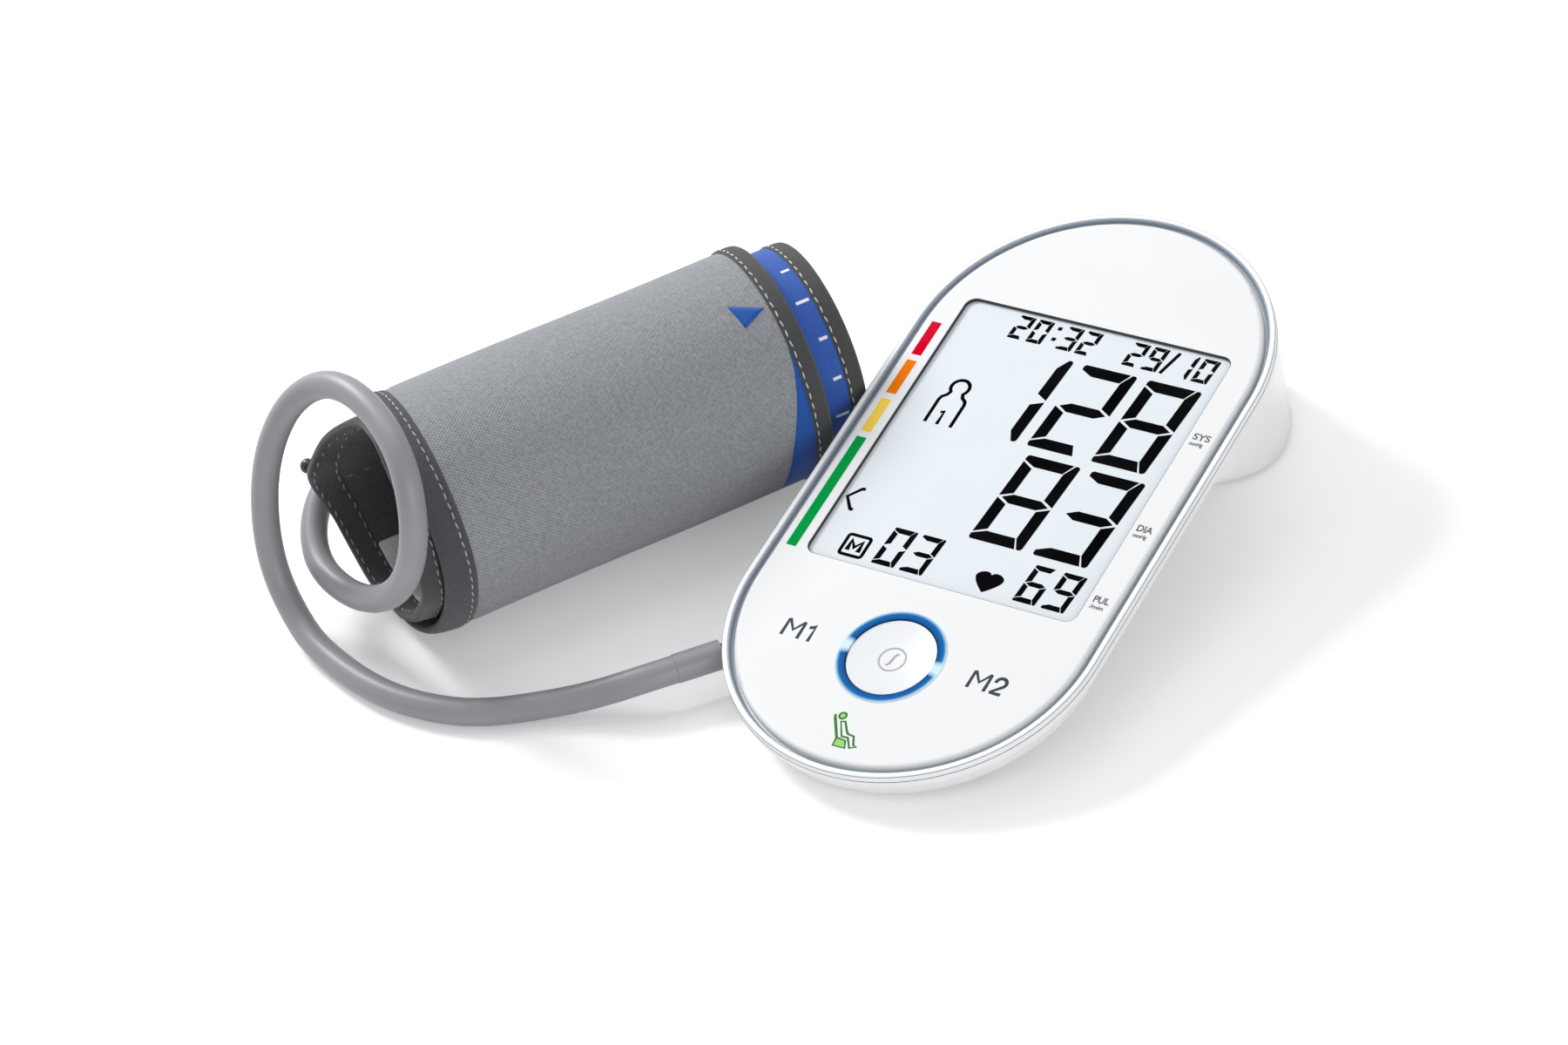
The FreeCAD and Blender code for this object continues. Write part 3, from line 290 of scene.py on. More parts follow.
# Painted glints: the colour turns nearly white at the ring's two sides.
glint = remap(tree, sideways, (glint_start, glint_full))
blend = add_node(tree, "Mix", {})
blend.data_type = "RGBA"
mix_share, mix_first, mix_second, mix_colour = 0, 6, 7, 2
feed(tree, blend, {
    mix_share: glint, mix_first: ramp(tree, across, ring_stops), mix_second: (0.6, 0.8, 0.92, 1)})
glow = blend.outputs[mix_colour]
feed(tree, shader, {
    "Base Color": glow, "Emission Color": glow, "Roughness": 0.4, "Specular IOR Level": 0.04,
    "Emission Strength": 0.08})
dress(ring_glow, "button_light_ring")
print("light ring round", [round(c, 4) for c in button_middle])

# %% [markdown]
# Printed marks and display segments are thin flat shapes. They are drawn in millimetres on the face's own
# axes and then moved onto the face or the screen. The helper takes any finished bmesh, puts its place into
# the mesh and makes it a piece that rides on a body.


# %% From a bmesh to a piece
face_mm = on_face @ Matrix.Scale(mm, 4)
cuff_mm = on_cuff @ Matrix.Scale(mm, 4)
screen_depth, screen_gap = 1.0, 0.01
# The marks were read on the face's plane, and the screen lies deeper.
sight_shift = Vector((-0.67, 0.64, 0))
screen_mm = face_mm @ Matrix.Translation(sight_shift - Vector((0, 0, screen_depth - screen_gap)))


def piece(name, shape, place, material, body="console", slot="white_face", smooth=False):
    """A bmesh in millimetres becomes a named piece on a body."""
    shape.transform(place)
    mesh = bpy.data.meshes.new(name)
    for face in shape.faces:
        face.smooth = smooth
    shape.to_mesh(mesh)
    shape.free()
    made = bpy.data.objects.new(name, mesh)
    scene.collection.objects.link(made)
    mesh.materials.append(material)
    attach(made, body)
    return made


def add_flat(shape, outline, height):
    """A flat outline raised to a thin plate, added to a bmesh."""
    corners = [shape.verts.new((x, y, 0)) for x, y in outline]
    plate = shape.faces.new(corners)
    raised = bmesh.ops.extrude_face_region(shape, geom=[plate])
    top = [item for item in raised["geom"] if isinstance(item, bmesh.types.BMVert)]
    bmesh.ops.translate(shape, verts=top, vec=(0, 0, height))


def upright(shape):
    """Every face turned outwards."""
    bmesh.ops.recalc_face_normals(shape, faces=shape.faces[:])
    return shape


# %% [markdown]
# A liquid crystal display shows its numbers with seven bars per digit. Each bar is a short polygon with
# slanted ends, so thin pale gaps show between neighbours, and the whole digit leans a little to the right.
# The bars of one digit are drawn once from its width, height and stroke, and a table says which are lit.

# %% Seven bars of a digit
lit_bars = {
    "0": "abcdef", "1": "bc", "2": "abged", "3": "abgcd", "6": "acdefg", "8": "abcdefg", "9": "abcdfg",
}
digit_lean = 0.075
ink_height = 0.045


def digit_bars(w, height, t):
    """The outlines of the seven bars before the digit leans, from its width, height and stroke."""
    middle = height / 2
    top_bar = [(0.15, 0), (-0.6, 0), (-1.1, 1), (1.05, 1), (0, 0.5), (0, 0.15)]
    level = [(x * t if x >= 0 else w + x * t, y * t) for x, y in top_bar]
    right = [
        (w, middle + 0.1 * t), (w - t, middle + 0.6 * t), (w - 0.98 * t, height - t),
        (w - 0.42 * t, height), (w - 0.15 * t, height), (w, height - 0.18 * t),
    ]
    left = [
        (0, middle + 0.1 * t), (t, middle + 0.6 * t), (t, height - 1.22 * t), (0, height - 0.68 * t),
    ]
    cross = [
        (0.3 * t, middle), (1.12 * t, middle + 0.45 * t), (w - 1.12 * t, middle + 0.45 * t),
        (w - 0.3 * t, middle), (w - 1.12 * t, middle - 0.45 * t), (1.12 * t, middle - 0.45 * t),
    ]

    def over(outline):
        return [(x, height - y) for x, y in outline]

    return {"a": over(level), "b": right, "c": over(right), "d": level, "e": over(left), "f": left,
            "g": cross}


def add_digits(shape, text, left, bottom, pitch, width, height, stroke):
    """A row of digits added to a bmesh, each in its own cell."""
    bars = digit_bars(width, height, stroke)
    for column, digit in enumerate(text):
        start = left + column * pitch
        for bar in lit_bars.get(digit, ""):
            outline = [(start + x + digit_lean * y, bottom + y) for x, y in bars[bar]]
            add_flat(shape, outline, ink_height)


# %% The readings on the screen
screen_ink = ink("screen_ink", (0.004, 0.004, 0.005), 0.7, 0.002, 0.0)
on_screen = {"place": screen_mm, "material": screen_ink, "slot": "lcd"}
# Each row: digits, left, bottom, pitch, width, height, stroke.
large_rows = [("128", -17.9, 13.2, 18.1, 14.9, 28.0, 3.2), ("83", 0.2, -17.6, 18.1, 14.9, 28.1, 3.2)]
readings = bmesh.new()
for row in large_rows:
    add_digits(readings, *row)
piece("screen_readings", upright(readings), **on_screen)
small_digits = bmesh.new()
small_rows = [
    ("20", -22.0, 43.9, 5.35, 4.25, 7.7, 1.12), ("32", -8.0, 43.9, 5.4, 4.25, 7.7, 1.12),
    ("29", 10.9, 43.9, 5.45, 4.25, 7.7, 1.12), ("10", 24.7, 43.9, 5.7, 4.4, 7.7, 1.12),
    ("69", 20.2, -31.8, 7.9, 6.2, 11.6, 1.5), ("03", -19.6, -32.0, 8.0, 6.4, 11.8, 1.5),
]
for row in small_rows:
    add_digits(small_digits, *row)
for dot in (46.0, 49.6):
    add_flat(small_digits, [(-10.3, dot), (-9.2, dot), (-9.15, dot + 1.1), (-10.25, dot + 1.1)], ink_height)
piece("screen_small_digits", upright(small_digits), **on_screen)
print("pairs of small digits", len(small_rows))

# %% [markdown]
# Icons and legends are drawn as lines. A line of ink is a curve with a round bevel that is made a mesh and
# then flattened, which keeps its ends and corners round as a printed line has them.


# %% Lines of ink
def as_bmesh(data):
    """A curve or a text made a mesh at once."""
    drawn = bpy.data.objects.new("drawn", data)
    mesh = bpy.data.meshes.new_from_object(drawn)
    shape = bmesh.new()
    shape.from_mesh(mesh)
    bpy.data.objects.remove(drawn)
    bpy.data.meshes.remove(mesh)
    bpy.data.curves.remove(data)
    return shape


def round_lines(lines, width, depth=0.0):
    """Round lines in millimetres as one bmesh. Each line is its points and whether it is closed."""
    curve = bpy.data.curves.new("ink_lines", "CURVE")
    curve.dimensions = "3D"
    for points, closed in lines:
        line = curve.splines.new("POLY")
        line.points.add(len(points) - 1)
        for point, (x, y) in zip(line.points, points):
            point.co = (x, y, depth, 1)
        line.use_cyclic_u = closed
    curve.bevel_depth = width / 2
    curve.bevel_resolution = 2
    curve.use_fill_caps = True
    return as_bmesh(curve)


def add_lines(name, lines, width, place, material, body="console", slot="white_face"):
    """Lines pressed flat, as ink lies on a plate, in one piece."""
    shape = round_lines(lines, width)
    bmesh.ops.scale(shape, vec=(1, 1, 2 * ink_height / width), verts=shape.verts[:])
    piece(name, shape, place, material, body, slot, smooth=True)


def arc(x, y, radius, first, last, steps=16):
    """Points on an arc, in degrees."""
    angles = [math.radians(first + (last - first) * i / steps) for i in range(steps + 1)]
    return [(x + radius * math.cos(a), y + radius * math.sin(a)) for a in angles]


# %% [markdown]
# The screen's icons are a person with a number, a pointer at the rating scale, the stroke of the date and
# a framed letter. Lines of one width go into one piece, so the letter, which is bolder, has its own.

# %% Icons on the screen
person = [(-28.9, 12.6), (-28.9, 20.2), (-28.6, 21.2), (-27.5, 22.2), (-27.1, 23.2)]
person += arc(-25.3, 25.1, 2.5, 226, -46)
person += [(-23.5, 23.2), (-23.1, 22.2), (-21.8, 21.2), (-21.5, 20.2), (-21.5, 12.6)]
user_number = [(-26.3, 16.4), (-25.4, 16.9), (-25.4, 12.6)]
pointer = [(-32.4, -11.7), (-33.3, -11.9), (-35.9, -15.0), (-33.3, -18.4), (-32.4, -18.6)]
slash = [(21.8, 44.0), (24.0, 51.4)]
memory_frame = []
for x, y, first in ((-28.4, -26.2, 90), (-28.4, -31.0, 180), (-23.5, -31.0, 270), (-23.5, -26.2, 0)):
    memory_frame += arc(x, y, 0.7, first, first + 90, 4)
memory_letter = [(-27.5, -30.3), (-27.5, -27.1), (-26.0, -29.2), (-24.4, -27.1), (-24.4, -30.3)]
open_lines = [(line, False) for line in (person, user_number, pointer, slash)]
add_lines("screen_person_icon", open_lines, 1.0, **on_screen)
add_lines("screen_memory_icon", [(memory_frame, True)], 0.95, **on_screen)
add_lines("screen_memory_letter", [(memory_letter, False)], 1.4, **on_screen)
print("lines in the icons", len(open_lines) + 2)

# %% [markdown]
# The heart has two lobes. Four Bezier points with handles describe it better than many corners, so it is a
# flat filled curve that is made a mesh.

# %% Heart
heart_curve = bpy.data.curves.new("heart", "CURVE")
heart_curve.dimensions = "2D"
heart_curve.fill_mode = "BOTH"
heart_curve.extrude = ink_height / 2
heart_line = heart_curve.splines.new("BEZIER")
heart_points = [
    ((11.8, -32.0), (11.0, -31.4), (12.6, -31.4)),
    ((15.6, -27.4), (15.7, -28.9), (15.5, -25.9)),
    ((11.8, -26.6), (12.4, -25.0), (11.2, -25.0)),
    ((8.0, -27.4), (8.1, -25.9), (7.9, -28.9)),
]
heart_line.bezier_points.add(len(heart_points) - 1)
for point, (middle, before, after) in zip(heart_line.bezier_points, heart_points):
    point.handle_left_type = point.handle_right_type = "FREE"
    point.co = (*middle, 0)
    point.handle_left = (*before, 0)
    point.handle_right = (*after, 0)
heart_line.use_cyclic_u = True
heart = as_bmesh(heart_curve)
bmesh.ops.remove_doubles(heart, verts=heart.verts[:], dist=0.001)
bmesh.ops.translate(heart, verts=heart.verts[:], vec=(0, 0, ink_height / 2))
piece("screen_heart", upright(heart), **on_screen)
print("heart from", len(heart_points), "points")

# %% [markdown]
# Left of the screen a scale of coloured bars rates the reading, and small grey legends on the right name
# the three values. The bars are thin plates. The legends are text, made a mesh at once.

# %% Rating bars
plate_gap = 0.005
on_plate_mm = face_mm @ Matrix.Translation((0, 0, plate_gap))
bar_left, bar_right = -43.4, -40.6
rating_bars = {
    "red": ((0.66, 0.004, 0.03), 31.7, 43.1),
    "orange": ((0.92, 0.21, 0.004), 18.3, 29.7),
    "yellow": ((0.97, 0.69, 0.1), 5.2, 16.3),
    "green": ((0.001, 0.34, 0.068), -33.3, 3.2),
}
for colour, (shade, low, high) in rating_bars.items():
    bar = bmesh.new()
    add_flat(bar, [(bar_left, low), (bar_right, low), (bar_right, high), (bar_left, high)], ink_height)
    paint = ink("rating_" + colour, shade, shine=0.0)
    piece("rating_bar_" + colour, upright(bar), on_plate_mm, paint)
print("rating bars", list(rating_bars))

# %% Legends
legend_ink = ink("legend_ink", (0.06, 0.07, 0.085), shift=0.008, shine=0.05)
legend_pale = ink("legend_pale", (0.14, 0.15, 0.165), shift=0.008, shine=0.05)
legend_left, capital = 39.4, 0.73
word_height, unit_height, unit_width, unit_drop = 2.0, 1.15, 3.6, 1.9


def legend(name, text, bottom, height, width):
    """A line of text of a given letter height and total width, printed on the plate."""
    writing = bpy.data.curves.new(name, "FONT")
    writing.body = text
    writing.extrude = ink_height / 2
    writing.offset = 0.02
    shape = as_bmesh(writing)
    spread = [vertex.co.x for vertex in shape.verts]
    stretch = Matrix.Diagonal((width / (max(spread) - min(spread)), height / capital, 1, 1))
    shape.transform(stretch @ Matrix.Translation((-min(spread), 0, ink_height / 2)))
    shape.transform(Matrix.Translation((legend_left, bottom, 0)))
    bmesh.ops.remove_doubles(shape, verts=shape.verts[:], dist=0.0005)
    piece(name, upright(shape), on_plate_mm, legend_pale)


values = [("SYS", 4.6, "mmHg", 27.0), ("DIA", 4.2, "mmHg", -3.3), ("PUL", 4.2, "/min", -26.2)]
for word, width, unit, bottom in values:
    legend("legend_" + word.lower(), word, bottom, word_height, width)
    legend("legend_unit_" + word.lower(), unit, bottom - unit_drop, unit_height, unit_width)
print("values named", len(values))

# %% [markdown]
# The two memory keys are marked with a letter and a figure in round strokes of even width. The font has no
# such letters, so they are drawn with the ink lines: each letter is one line through a few points.

# %% Key legends
letter = [(0, -58.8), (0, -54.0), (0.35, -53.9), (2.35, -56.65), (4.3, -53.9), (4.55, -54.0), (4.55, -58.8)]
one = [(-24.1, -54.8), (-23.1, -54.5), (-22.6, -53.9), (-22.6, -58.8)]
two = arc(29.9, -55.25, 1.38, 190, -35) + [(28.5, -58.3), (28.6, -58.5), (31.3, -58.5)]
for name, left, figure in (("legend_m1", -30.2, one), ("legend_m2", 22.2, two)):
    moved = [(left + x, y) for x, y in letter]
    add_lines(name, [(moved, False), (figure, False)], 0.95, on_plate_mm, legend_ink)
print("key legends drawn")

# %% [markdown]
# A green outline under the button shows the right posture: a person sitting upright on a chair. It is the
# same kind of ink line. The button's own sign, a circle with a stroke, lies in the dish of the cap and so
# it rides on the button.

# %% Posture sign and button sign
sign_green = ink("sign_green", (0.035, 0.21, 0.025))
sign_fill = ink("sign_fill", (0.36, 0.66, 0.22), shift=0.02)
sign_grey = moulded("sign_grey", (0.4, 0.41, 0.43), 0.5, shift=0.01, bump=0.0)
head = arc(-2.56, -75.95, 0.88, 0, 345)
sitter = [
    (-2.2, -77.6), (0.2, -81.5), (1.9, -81.4), (3.7, -84.0), (5.3, -83.3), (4.3, -83.0), (3.1, -80.6),
    (1.3, -80.4), (0.5, -79.5), (-1.1, -77.3),
]
seat = [(1.7, -82.4), (2.7, -84.4), (-0.6, -84.5), (-0.8, -82.3)]
chair = [(-4.6, -76.1), (-0.7, -82.2), *seat, (-4.4, -76.7)]
posture = [(head, True), (sitter, True), (chair, False)]
add_lines("posture_sign", posture, 0.62, on_plate_mm, sign_green)
filled = bmesh.new()
for outline in (seat, head):
    add_flat(filled, outline, 0.5 * ink_height)
piece("posture_sign_fill", upright(filled), on_plate_mm, sign_fill)
cap_depth = 1.0
cap_mm = face_mm @ Matrix.Translation((0, 0, -cap_depth))
hooked_stroke = [(-0.95, -58.3), (-0.5, -58.2), (-0.2, -57.6), (0.2, -55.4), (0.5, -54.8), (0.95, -54.7)]
button_sign = [(arc(0, button_row, 3.4, 0, 350, 34), True), (hooked_stroke, False)]
add_lines("button_sign", button_sign, 0.5, cap_mm, sign_grey, "button", "button_white")
print("signs drawn")

# %% [markdown]
# The screen lies a millimetre below the plate, and the wall of that step is in shade, which a dark lining
# paints. From the camera only its top and left walls show, as two thin dark lines of painted shade. A
# round-cornered outline is extruded down and given a small thickness inwards.

# %% Painted shade round the screen
recess_shade = bmesh.new()
recess_shade_width, recess_shade_height, recess_shade_middle, recess_shade_corner = 76.06, 87.36, 9.8, 2.98
recess_shade_top, recess_shade_drop = -0.06, 0.93
recess_shade_outline = []
for side_x, side_y, first in ((1, 1, 0), (-1, 1, 90), (-1, -1, 180), (1, -1, 270)):
    x = side_x * (recess_shade_width / 2 - recess_shade_corner)
    y = recess_shade_middle + side_y * (recess_shade_height / 2 - recess_shade_corner)
    recess_shade_outline += arc(x, y, recess_shade_corner, first, first + 90, 8)
loop = [recess_shade.verts.new((x, y, recess_shade_top)) for x, y in recess_shade_outline]
edges = [recess_shade.edges.new((a, b)) for a, b in zip(loop, loop[1:] + loop[:1])]
walls = bmesh.ops.extrude_edge_only(recess_shade, edges=edges)
lower = [item for item in walls["geom"] if isinstance(item, bmesh.types.BMVert)]
bmesh.ops.translate(recess_shade, verts=lower, vec=(0, 0, -recess_shade_drop))
upright(recess_shade)
bmesh.ops.solidify(recess_shade, geom=recess_shade.faces[:], thickness=0.12)
# A dark lining on the recess wall: painted shade.
recess_shade_black = moulded("recess_shade_black", (0.025, 0.027, 0.03), 0.55, shift=0.006)
piece("screen_recess_shade", upright(recess_shade), face_mm, recess_shade_black, slot="soft_rubber")

# %% [markdown]
# The housing is two shells, and a fine shadow line runs round the console where they meet. A fainter line
# of painted shade marks the rim's rounded edge. Both follow the rim's own outline, two half circles joined
# by straight sides, whose size is measured on the front shell. Each is a thin round line that is sunk into
# the wall.

# %% Housing seam
rim_points = [face_mm.inverted() @ vertex.co for vertex in nodes["front_housing"].data.vertices]
rim_side, rim_end, rim_top = [max(point[axis] for point in rim_points) for axis in range(3)]


def rim_line(name, inset, drop, width, material):
    """A line along the rim's outline, drawn in and lowered a little."""
    straight, radius = rim_end - rim_side, rim_side - inset
    outline = arc(0, straight, radius, 0, 180, 72) + arc(0, -straight, radius, 180, 360, 72)
    shape = round_lines([(outline, True)], width, rim_top - drop)
    piece(name, upright(shape), face_mm, material, slot="white_housing", smooth=True)


seam_grey = ink("seam_grey", (0.16, 0.175, 0.2), shift=0.02)
rim_line("housing_seam", inset=0.1, drop=1.8, width=0.32, material=seam_grey)
# Painted shade along the rim's rounded edge.
edge_grey = ink("edge_grey", (0.34, 0.37, 0.41), 0.5, 0.02)
rim_line("housing_edge_line", inset=0.19, drop=0.19, width=0.24, material=edge_grey)
print("rim", round(rim_side, 2), round(rim_end, 2), round(rim_top, 2))

# %% [markdown]
# The cuff is woven cloth rolled into a tube, dark on its inner turn and mid grey outside. A weave needs
# coordinates that follow the cloth, so each cloth piece gets a UV map in millimetres: round the roll and
# along it. The finish crosses two sine waves on that map into rows of small crowns, which set the colour
# and the bump. A fine noise on top keeps the cloth from looking printed.


# %% A woven finish
def woven(name, colour, pitch, contrast, roughness=0.85, bump=0.5):
    """Cloth whose crowns and gaps follow the piece's own UV map, in millimetres."""
    material, tree, shader = new_finish(name)
    cloth = add_node(tree, "UVMap", {})
    cloth.uv_map = "cloth"
    axes = add_node(tree, "SeparateXYZ", {"Vector": cloth.outputs["UV"]})
    scaled = [math_node(tree, "MULTIPLY", axes.outputs[axis], 2 * math.pi / pitch) for axis in "XY"]
    waves = [math_node(tree, "SINE", value) for value in scaled]
    crossing = math_node(tree, "MULTIPLY", *waves)
    speckle = math_node(tree, "MULTIPLY_ADD", noise(tree, 1100, 4), 0.9, 0.05)
    blend = math_node(tree, "MULTIPLY_ADD", crossing, 0.3, speckle)
    gap = [c * (1 - contrast) for c in colour] + [1]
    crown = [min(1, c * (1 + contrast)) for c in colour] + [1]
    relief = add_node(tree, "Bump", {"Strength": bump, "Distance": 0.00012, "Height": crossing})
    feed(tree, shader, {
        "Base Color": ramp(tree, blend, [(0.1, gap), (0.9, crown)]),
        "Normal": relief.outputs["Normal"], "Roughness": roughness, "Sheen Weight": 0.25,
        "Sheen Roughness": 0.5, "Specular IOR Level": 0.25})
    return material


cloth_grey = woven("cloth_grey", (0.295, 0.308, 0.333), 0.95, 0.36, bump=0.7)
cloth_charcoal = woven("cloth_charcoal", (0.032, 0.034, 0.037), 0.5, 0.3)
# A paler copy of the charcoal cloth: painted light for the inner side of the tube.
cloth_inside_painted_light = woven("cloth_inside_painted_light", (0.085, 0.088, 0.093), 0.5, 0.3)
cloth_lining = woven("cloth_lining", (0.78, 0.79, 0.8), 0.8, 0.12)
tape_dark = woven("tape_dark", (0.068, 0.069, 0.071), 0.45, 0.3)
tape_grey = woven("tape_grey", (0.072, 0.076, 0.084), 0.45, 0.3)
band_blue = woven("band_blue", (0.036, 0.112, 0.46), 0.4, 0.12, bump=0.2)
print_blue = woven("print_blue", (0.015, 0.095, 0.42), 0.4, 0.12, bump=0.2)
hook_dark = woven("hook_dark", (0.03, 0.03, 0.032), 0.9, 0.4, bump=1.0)
film_grey = woven("film_grey", (0.3, 0.31, 0.32), 1.2, 0.1, roughness=0.45, bump=0.1)
print("cloth finishes ready")

# %% [markdown]
# Every turn of the cuff is a tube round one axis. A cone with equal ends gives the tube, cutting its
# lengthwise edges gives the rings, and each vertex is then moved to the radius that the cloth has there:
# the hem rolls in, the stitching draws the cloth together, the bar makes a ridge, and the table flattens
# the underside. Thickness and a last smoothing are modifiers, so the sheet stays easy to change.

# %% Rolled cloth
cuff_radius = 30.85
table_level = -30.42
outer_left, outer_right = -49.4, 44.9
inner_left, inner_right = -62.2, 57.0
bar_angle, ridge_height, ridge_width = math.atan2(3.0, 30.6), 1.95, 0.072
# The slip of the outer turn's left edge, and the degrees round the roll between which it grows and ends.
slip_start, front_slip, low_slip = -18.0, 6.8, 6.2
slip_zero, front_turn, low_turn, back_turn = 355, (0, 65), (175, 280), (290, 340)
# The slip of the inner turn's free end: where it begins round the roll, and how many degrees it runs.
free_start, free_slip, free_zero, free_run = 4.6, 10.4, 70, 300
tongue_length, tongue_width = 2.5, 0.35


def turn_from(angle, start):
    """The signed turn from one angle to another, the short way round."""
    return (angle - start + math.pi) % (2 * math.pi) - math.pi


def bump_at(angle, middle, width):
    """One at an angle round the roll, falling to zero on both sides of it."""
    return math.exp(-(turn_from(angle, middle) / width) ** 2)


def bar_ridge(along, angle):
    """How far the outer turn stands out over the bar in its sleeve, the same all along."""
    return ridge_height * bump_at(angle, bar_angle, ridge_width)


def free_share(along):
    """Zero where the outer turn holds the inner one, and one at the inner turn's free left end."""
    return min(1, max(0, (outer_left - along) / (outer_left - inner_left)))


def ease(value, start, end):
    """A smooth step from zero at the start to one at the end."""
    share = min(1, max(0, (value - start) / (end - start)))
    return share * share * (3 - 2 * share)


def inner_askew(along, angle):
    """A place along the inner turn after its slip, which grows to the free end and ends in a short step."""
    turn = (math.degrees(angle) - free_zero) % 360
    slip = turn / free_run if turn < free_run else ease(turn, 360, free_run)
    tongue = tongue_length * bump_at(angle, bar_angle, tongue_width)
    return along + free_share(along) * (free_start - tongue - free_slip * slip)


def outer_askew(along, angle):
    """A place along the outer turn after its slip: the left edge stands out in front, and most below."""
    turn = (math.degrees(angle) - slip_zero) % 360
    slip = front_slip * ease(turn, *front_turn) + low_slip * ease(turn, *low_turn)
    slip *= 1 - ease(turn, *back_turn)
    return along - slip * min(1, max(0, (slip_start - along) / (slip_start - outer_left))) ** 1.5


def lay_uv(shape):
    """A UV map in millimetres: round the roll, and along it."""
    layer = shape.loops.layers.uv.new("cloth")
    for face in shape.faces:
        middle = face.calc_center_median()
        around = math.atan2(middle.z, middle.y)
        for loop in face.loops:
            turn = turn_from(math.atan2(loop.vert.co.z, loop.vert.co.y), around)
            loop[layer].uv = ((around + turn) * cuff_radius, loop.vert.co.x)


def settle(shape, relief, place_at):
    """Each vertex moves out by its relief and along by its slip, and none goes below the table."""
    for vertex in shape.verts:
        along, angle = vertex.co.x, math.atan2(vertex.co.z, vertex.co.y)
        radius = math.hypot(vertex.co.y, vertex.co.z) + relief(along, angle)
        height = max(radius * math.sin(angle), table_level)
        vertex.co = (place_at(along, angle), radius * math.cos(angle), height)
    return upright(shape)


def rolled_cloth(left, right, radius, relief, place_at, around=150, rings=80):
    """A tube of cloth in millimetres on the cuff's axis."""
    shape = bmesh.new()
    length = right - left
    lie_down = Matrix.Translation(((left + right) / 2, 0, 0)) @ Matrix.Rotation(math.pi / 2, 4, "Y")
    bmesh.ops.create_cone(shape, cap_ends=False, segments=around, radius1=radius, radius2=radius,
                          depth=length, matrix=lie_down)
    lengthwise = [edge for edge in shape.edges if edge.calc_length() > length / 2]
    bmesh.ops.subdivide_edges(shape, edges=lengthwise, cuts=rings, use_grid_fill=True)
    lay_uv(shape)
    return settle(shape, relief, place_at)


def cuff_piece(name, shape, material, slot, smooth=True):
    """A piece in millimetres on the cuff's axis."""
    return piece(name, shape, cuff_mm, material, "cuff_set", slot, smooth)


def smooth_once(made):
    """One smoothing, the same in the view and in the render."""
    smooth = made.modifiers.new("smoothing", "SUBSURF")
    smooth.levels = smooth.render_levels = 1
    return made


def thicken(made, thickness, offset=-1):
    """Thickness in millimetres, all of it inwards unless the offset says otherwise."""
    wall = made.modifiers.new("thickness", "SOLIDIFY")
    wall.thickness, wall.offset = thickness * mm, offset
    return made


def outward(shape):
    """Every face turned away from the cuff's axis."""
    for face in upright(shape).faces:
        if face.normal.dot(face.calc_center_median() * Vector((0, 1, 1))) < 0:
            face.normal_flip()
    return shape


# %% [markdown]
# The outer turn is the grey cloth that the eye meets first. Its left hem rolls in towards the edge, the
# seam beside the hem draws it together, and slow waves keep it from looking turned on a lathe.

# %% Outer turn
hem_width, hem_roll, roll_length = 5.9, 0.9, 4.0
drawn_width, drawn_depth, pucker_depth, puckers = 0.8, 0.4, 0.1, 42


def hem_relief(along, angle):
    """The bar's ridge, and the left hem's roll in towards its edge."""
    return bar_ridge(along, angle) - hem_roll * max(0, 1 - (along - outer_left) / roll_length) ** 2


def outer_relief(along, angle):
    """Rolled hem, bar's ridge, drawn seam and slow waves."""
    depth = drawn_depth + pucker_depth * math.sin(puckers * angle)
    drawn = depth * math.exp(-((along - outer_left - hem_width) / drawn_width) ** 2)
    wave = 0.1 * math.sin(3 * angle + 0.06 * along) + 0.07 * math.sin(5 * angle - 0.09 * along + 1.0)
    return hem_relief(along, angle) - drawn + wave


outer_tube = rolled_cloth(outer_left, outer_right, cuff_radius, outer_relief, outer_askew)
outer_turn = cuff_piece("cuff_outer_cloth", outer_tube, cloth_grey, "grey_fabric")
smooth_once(thicken(outer_turn, thickness=1.9))
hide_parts("cuff_outer_wrap")
print("outer turn", len(outer_turn.data.polygons), "faces")

# %% [markdown]
# The inner turn goes round the arm. It is longer than the outer one and stands out of it at both ends. Its
# free left end has no bar to hold it round: the cloth falls into soft flats there. The roll has also
# slipped a little, so the free edge runs along a screw line, short at the front and long at the back and
# below. The side towards the arm is painted a little paler, as painted light inside the tube, so it is a
# second material.

# %% Inner turn
inner_radius = 27.05
sunk_depth, sunk_angle, sunk_width = 1.7, math.radians(250), 0.8


def free_end(along, angle):
    """Soft flats that grow towards the free left end, and a low place at the bottom."""
    flats = 0.45 * math.cos(7 * angle + 1.1) + 0.28 * math.cos(11 * angle + 0.4) + 0.2 * math.sin(2 * angle)
    sunk = sunk_depth * bump_at(angle, sunk_angle, sunk_width)
    return free_share(along) * (flats - 0.25 - sunk)


inner_tube = rolled_cloth(inner_left, inner_right, inner_radius, free_end, inner_askew)
inner_turn = cuff_piece("cuff_inner_cloth", inner_tube, cloth_charcoal, "dark_fabric")
smooth_once(thicken(inner_turn, thickness=2.35))
# The inner side takes the paler cloth: painted light inside the tube.
inner_turn.data.materials.append(cloth_inside_painted_light)
inner_turn.modifiers["thickness"].material_offset = 1
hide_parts("cuff_inner_wrap")
print("inner turn", len(inner_turn.data.polygons), "faces")

# %% [markdown]
# Woven tape is folded over each raw edge and sewn down. A small section is drawn once and spun all the way
# round the axis. The tape then takes the same relief as the cloth that it edges: the bar's ridge, the
# rolled hem or the free end's flats.


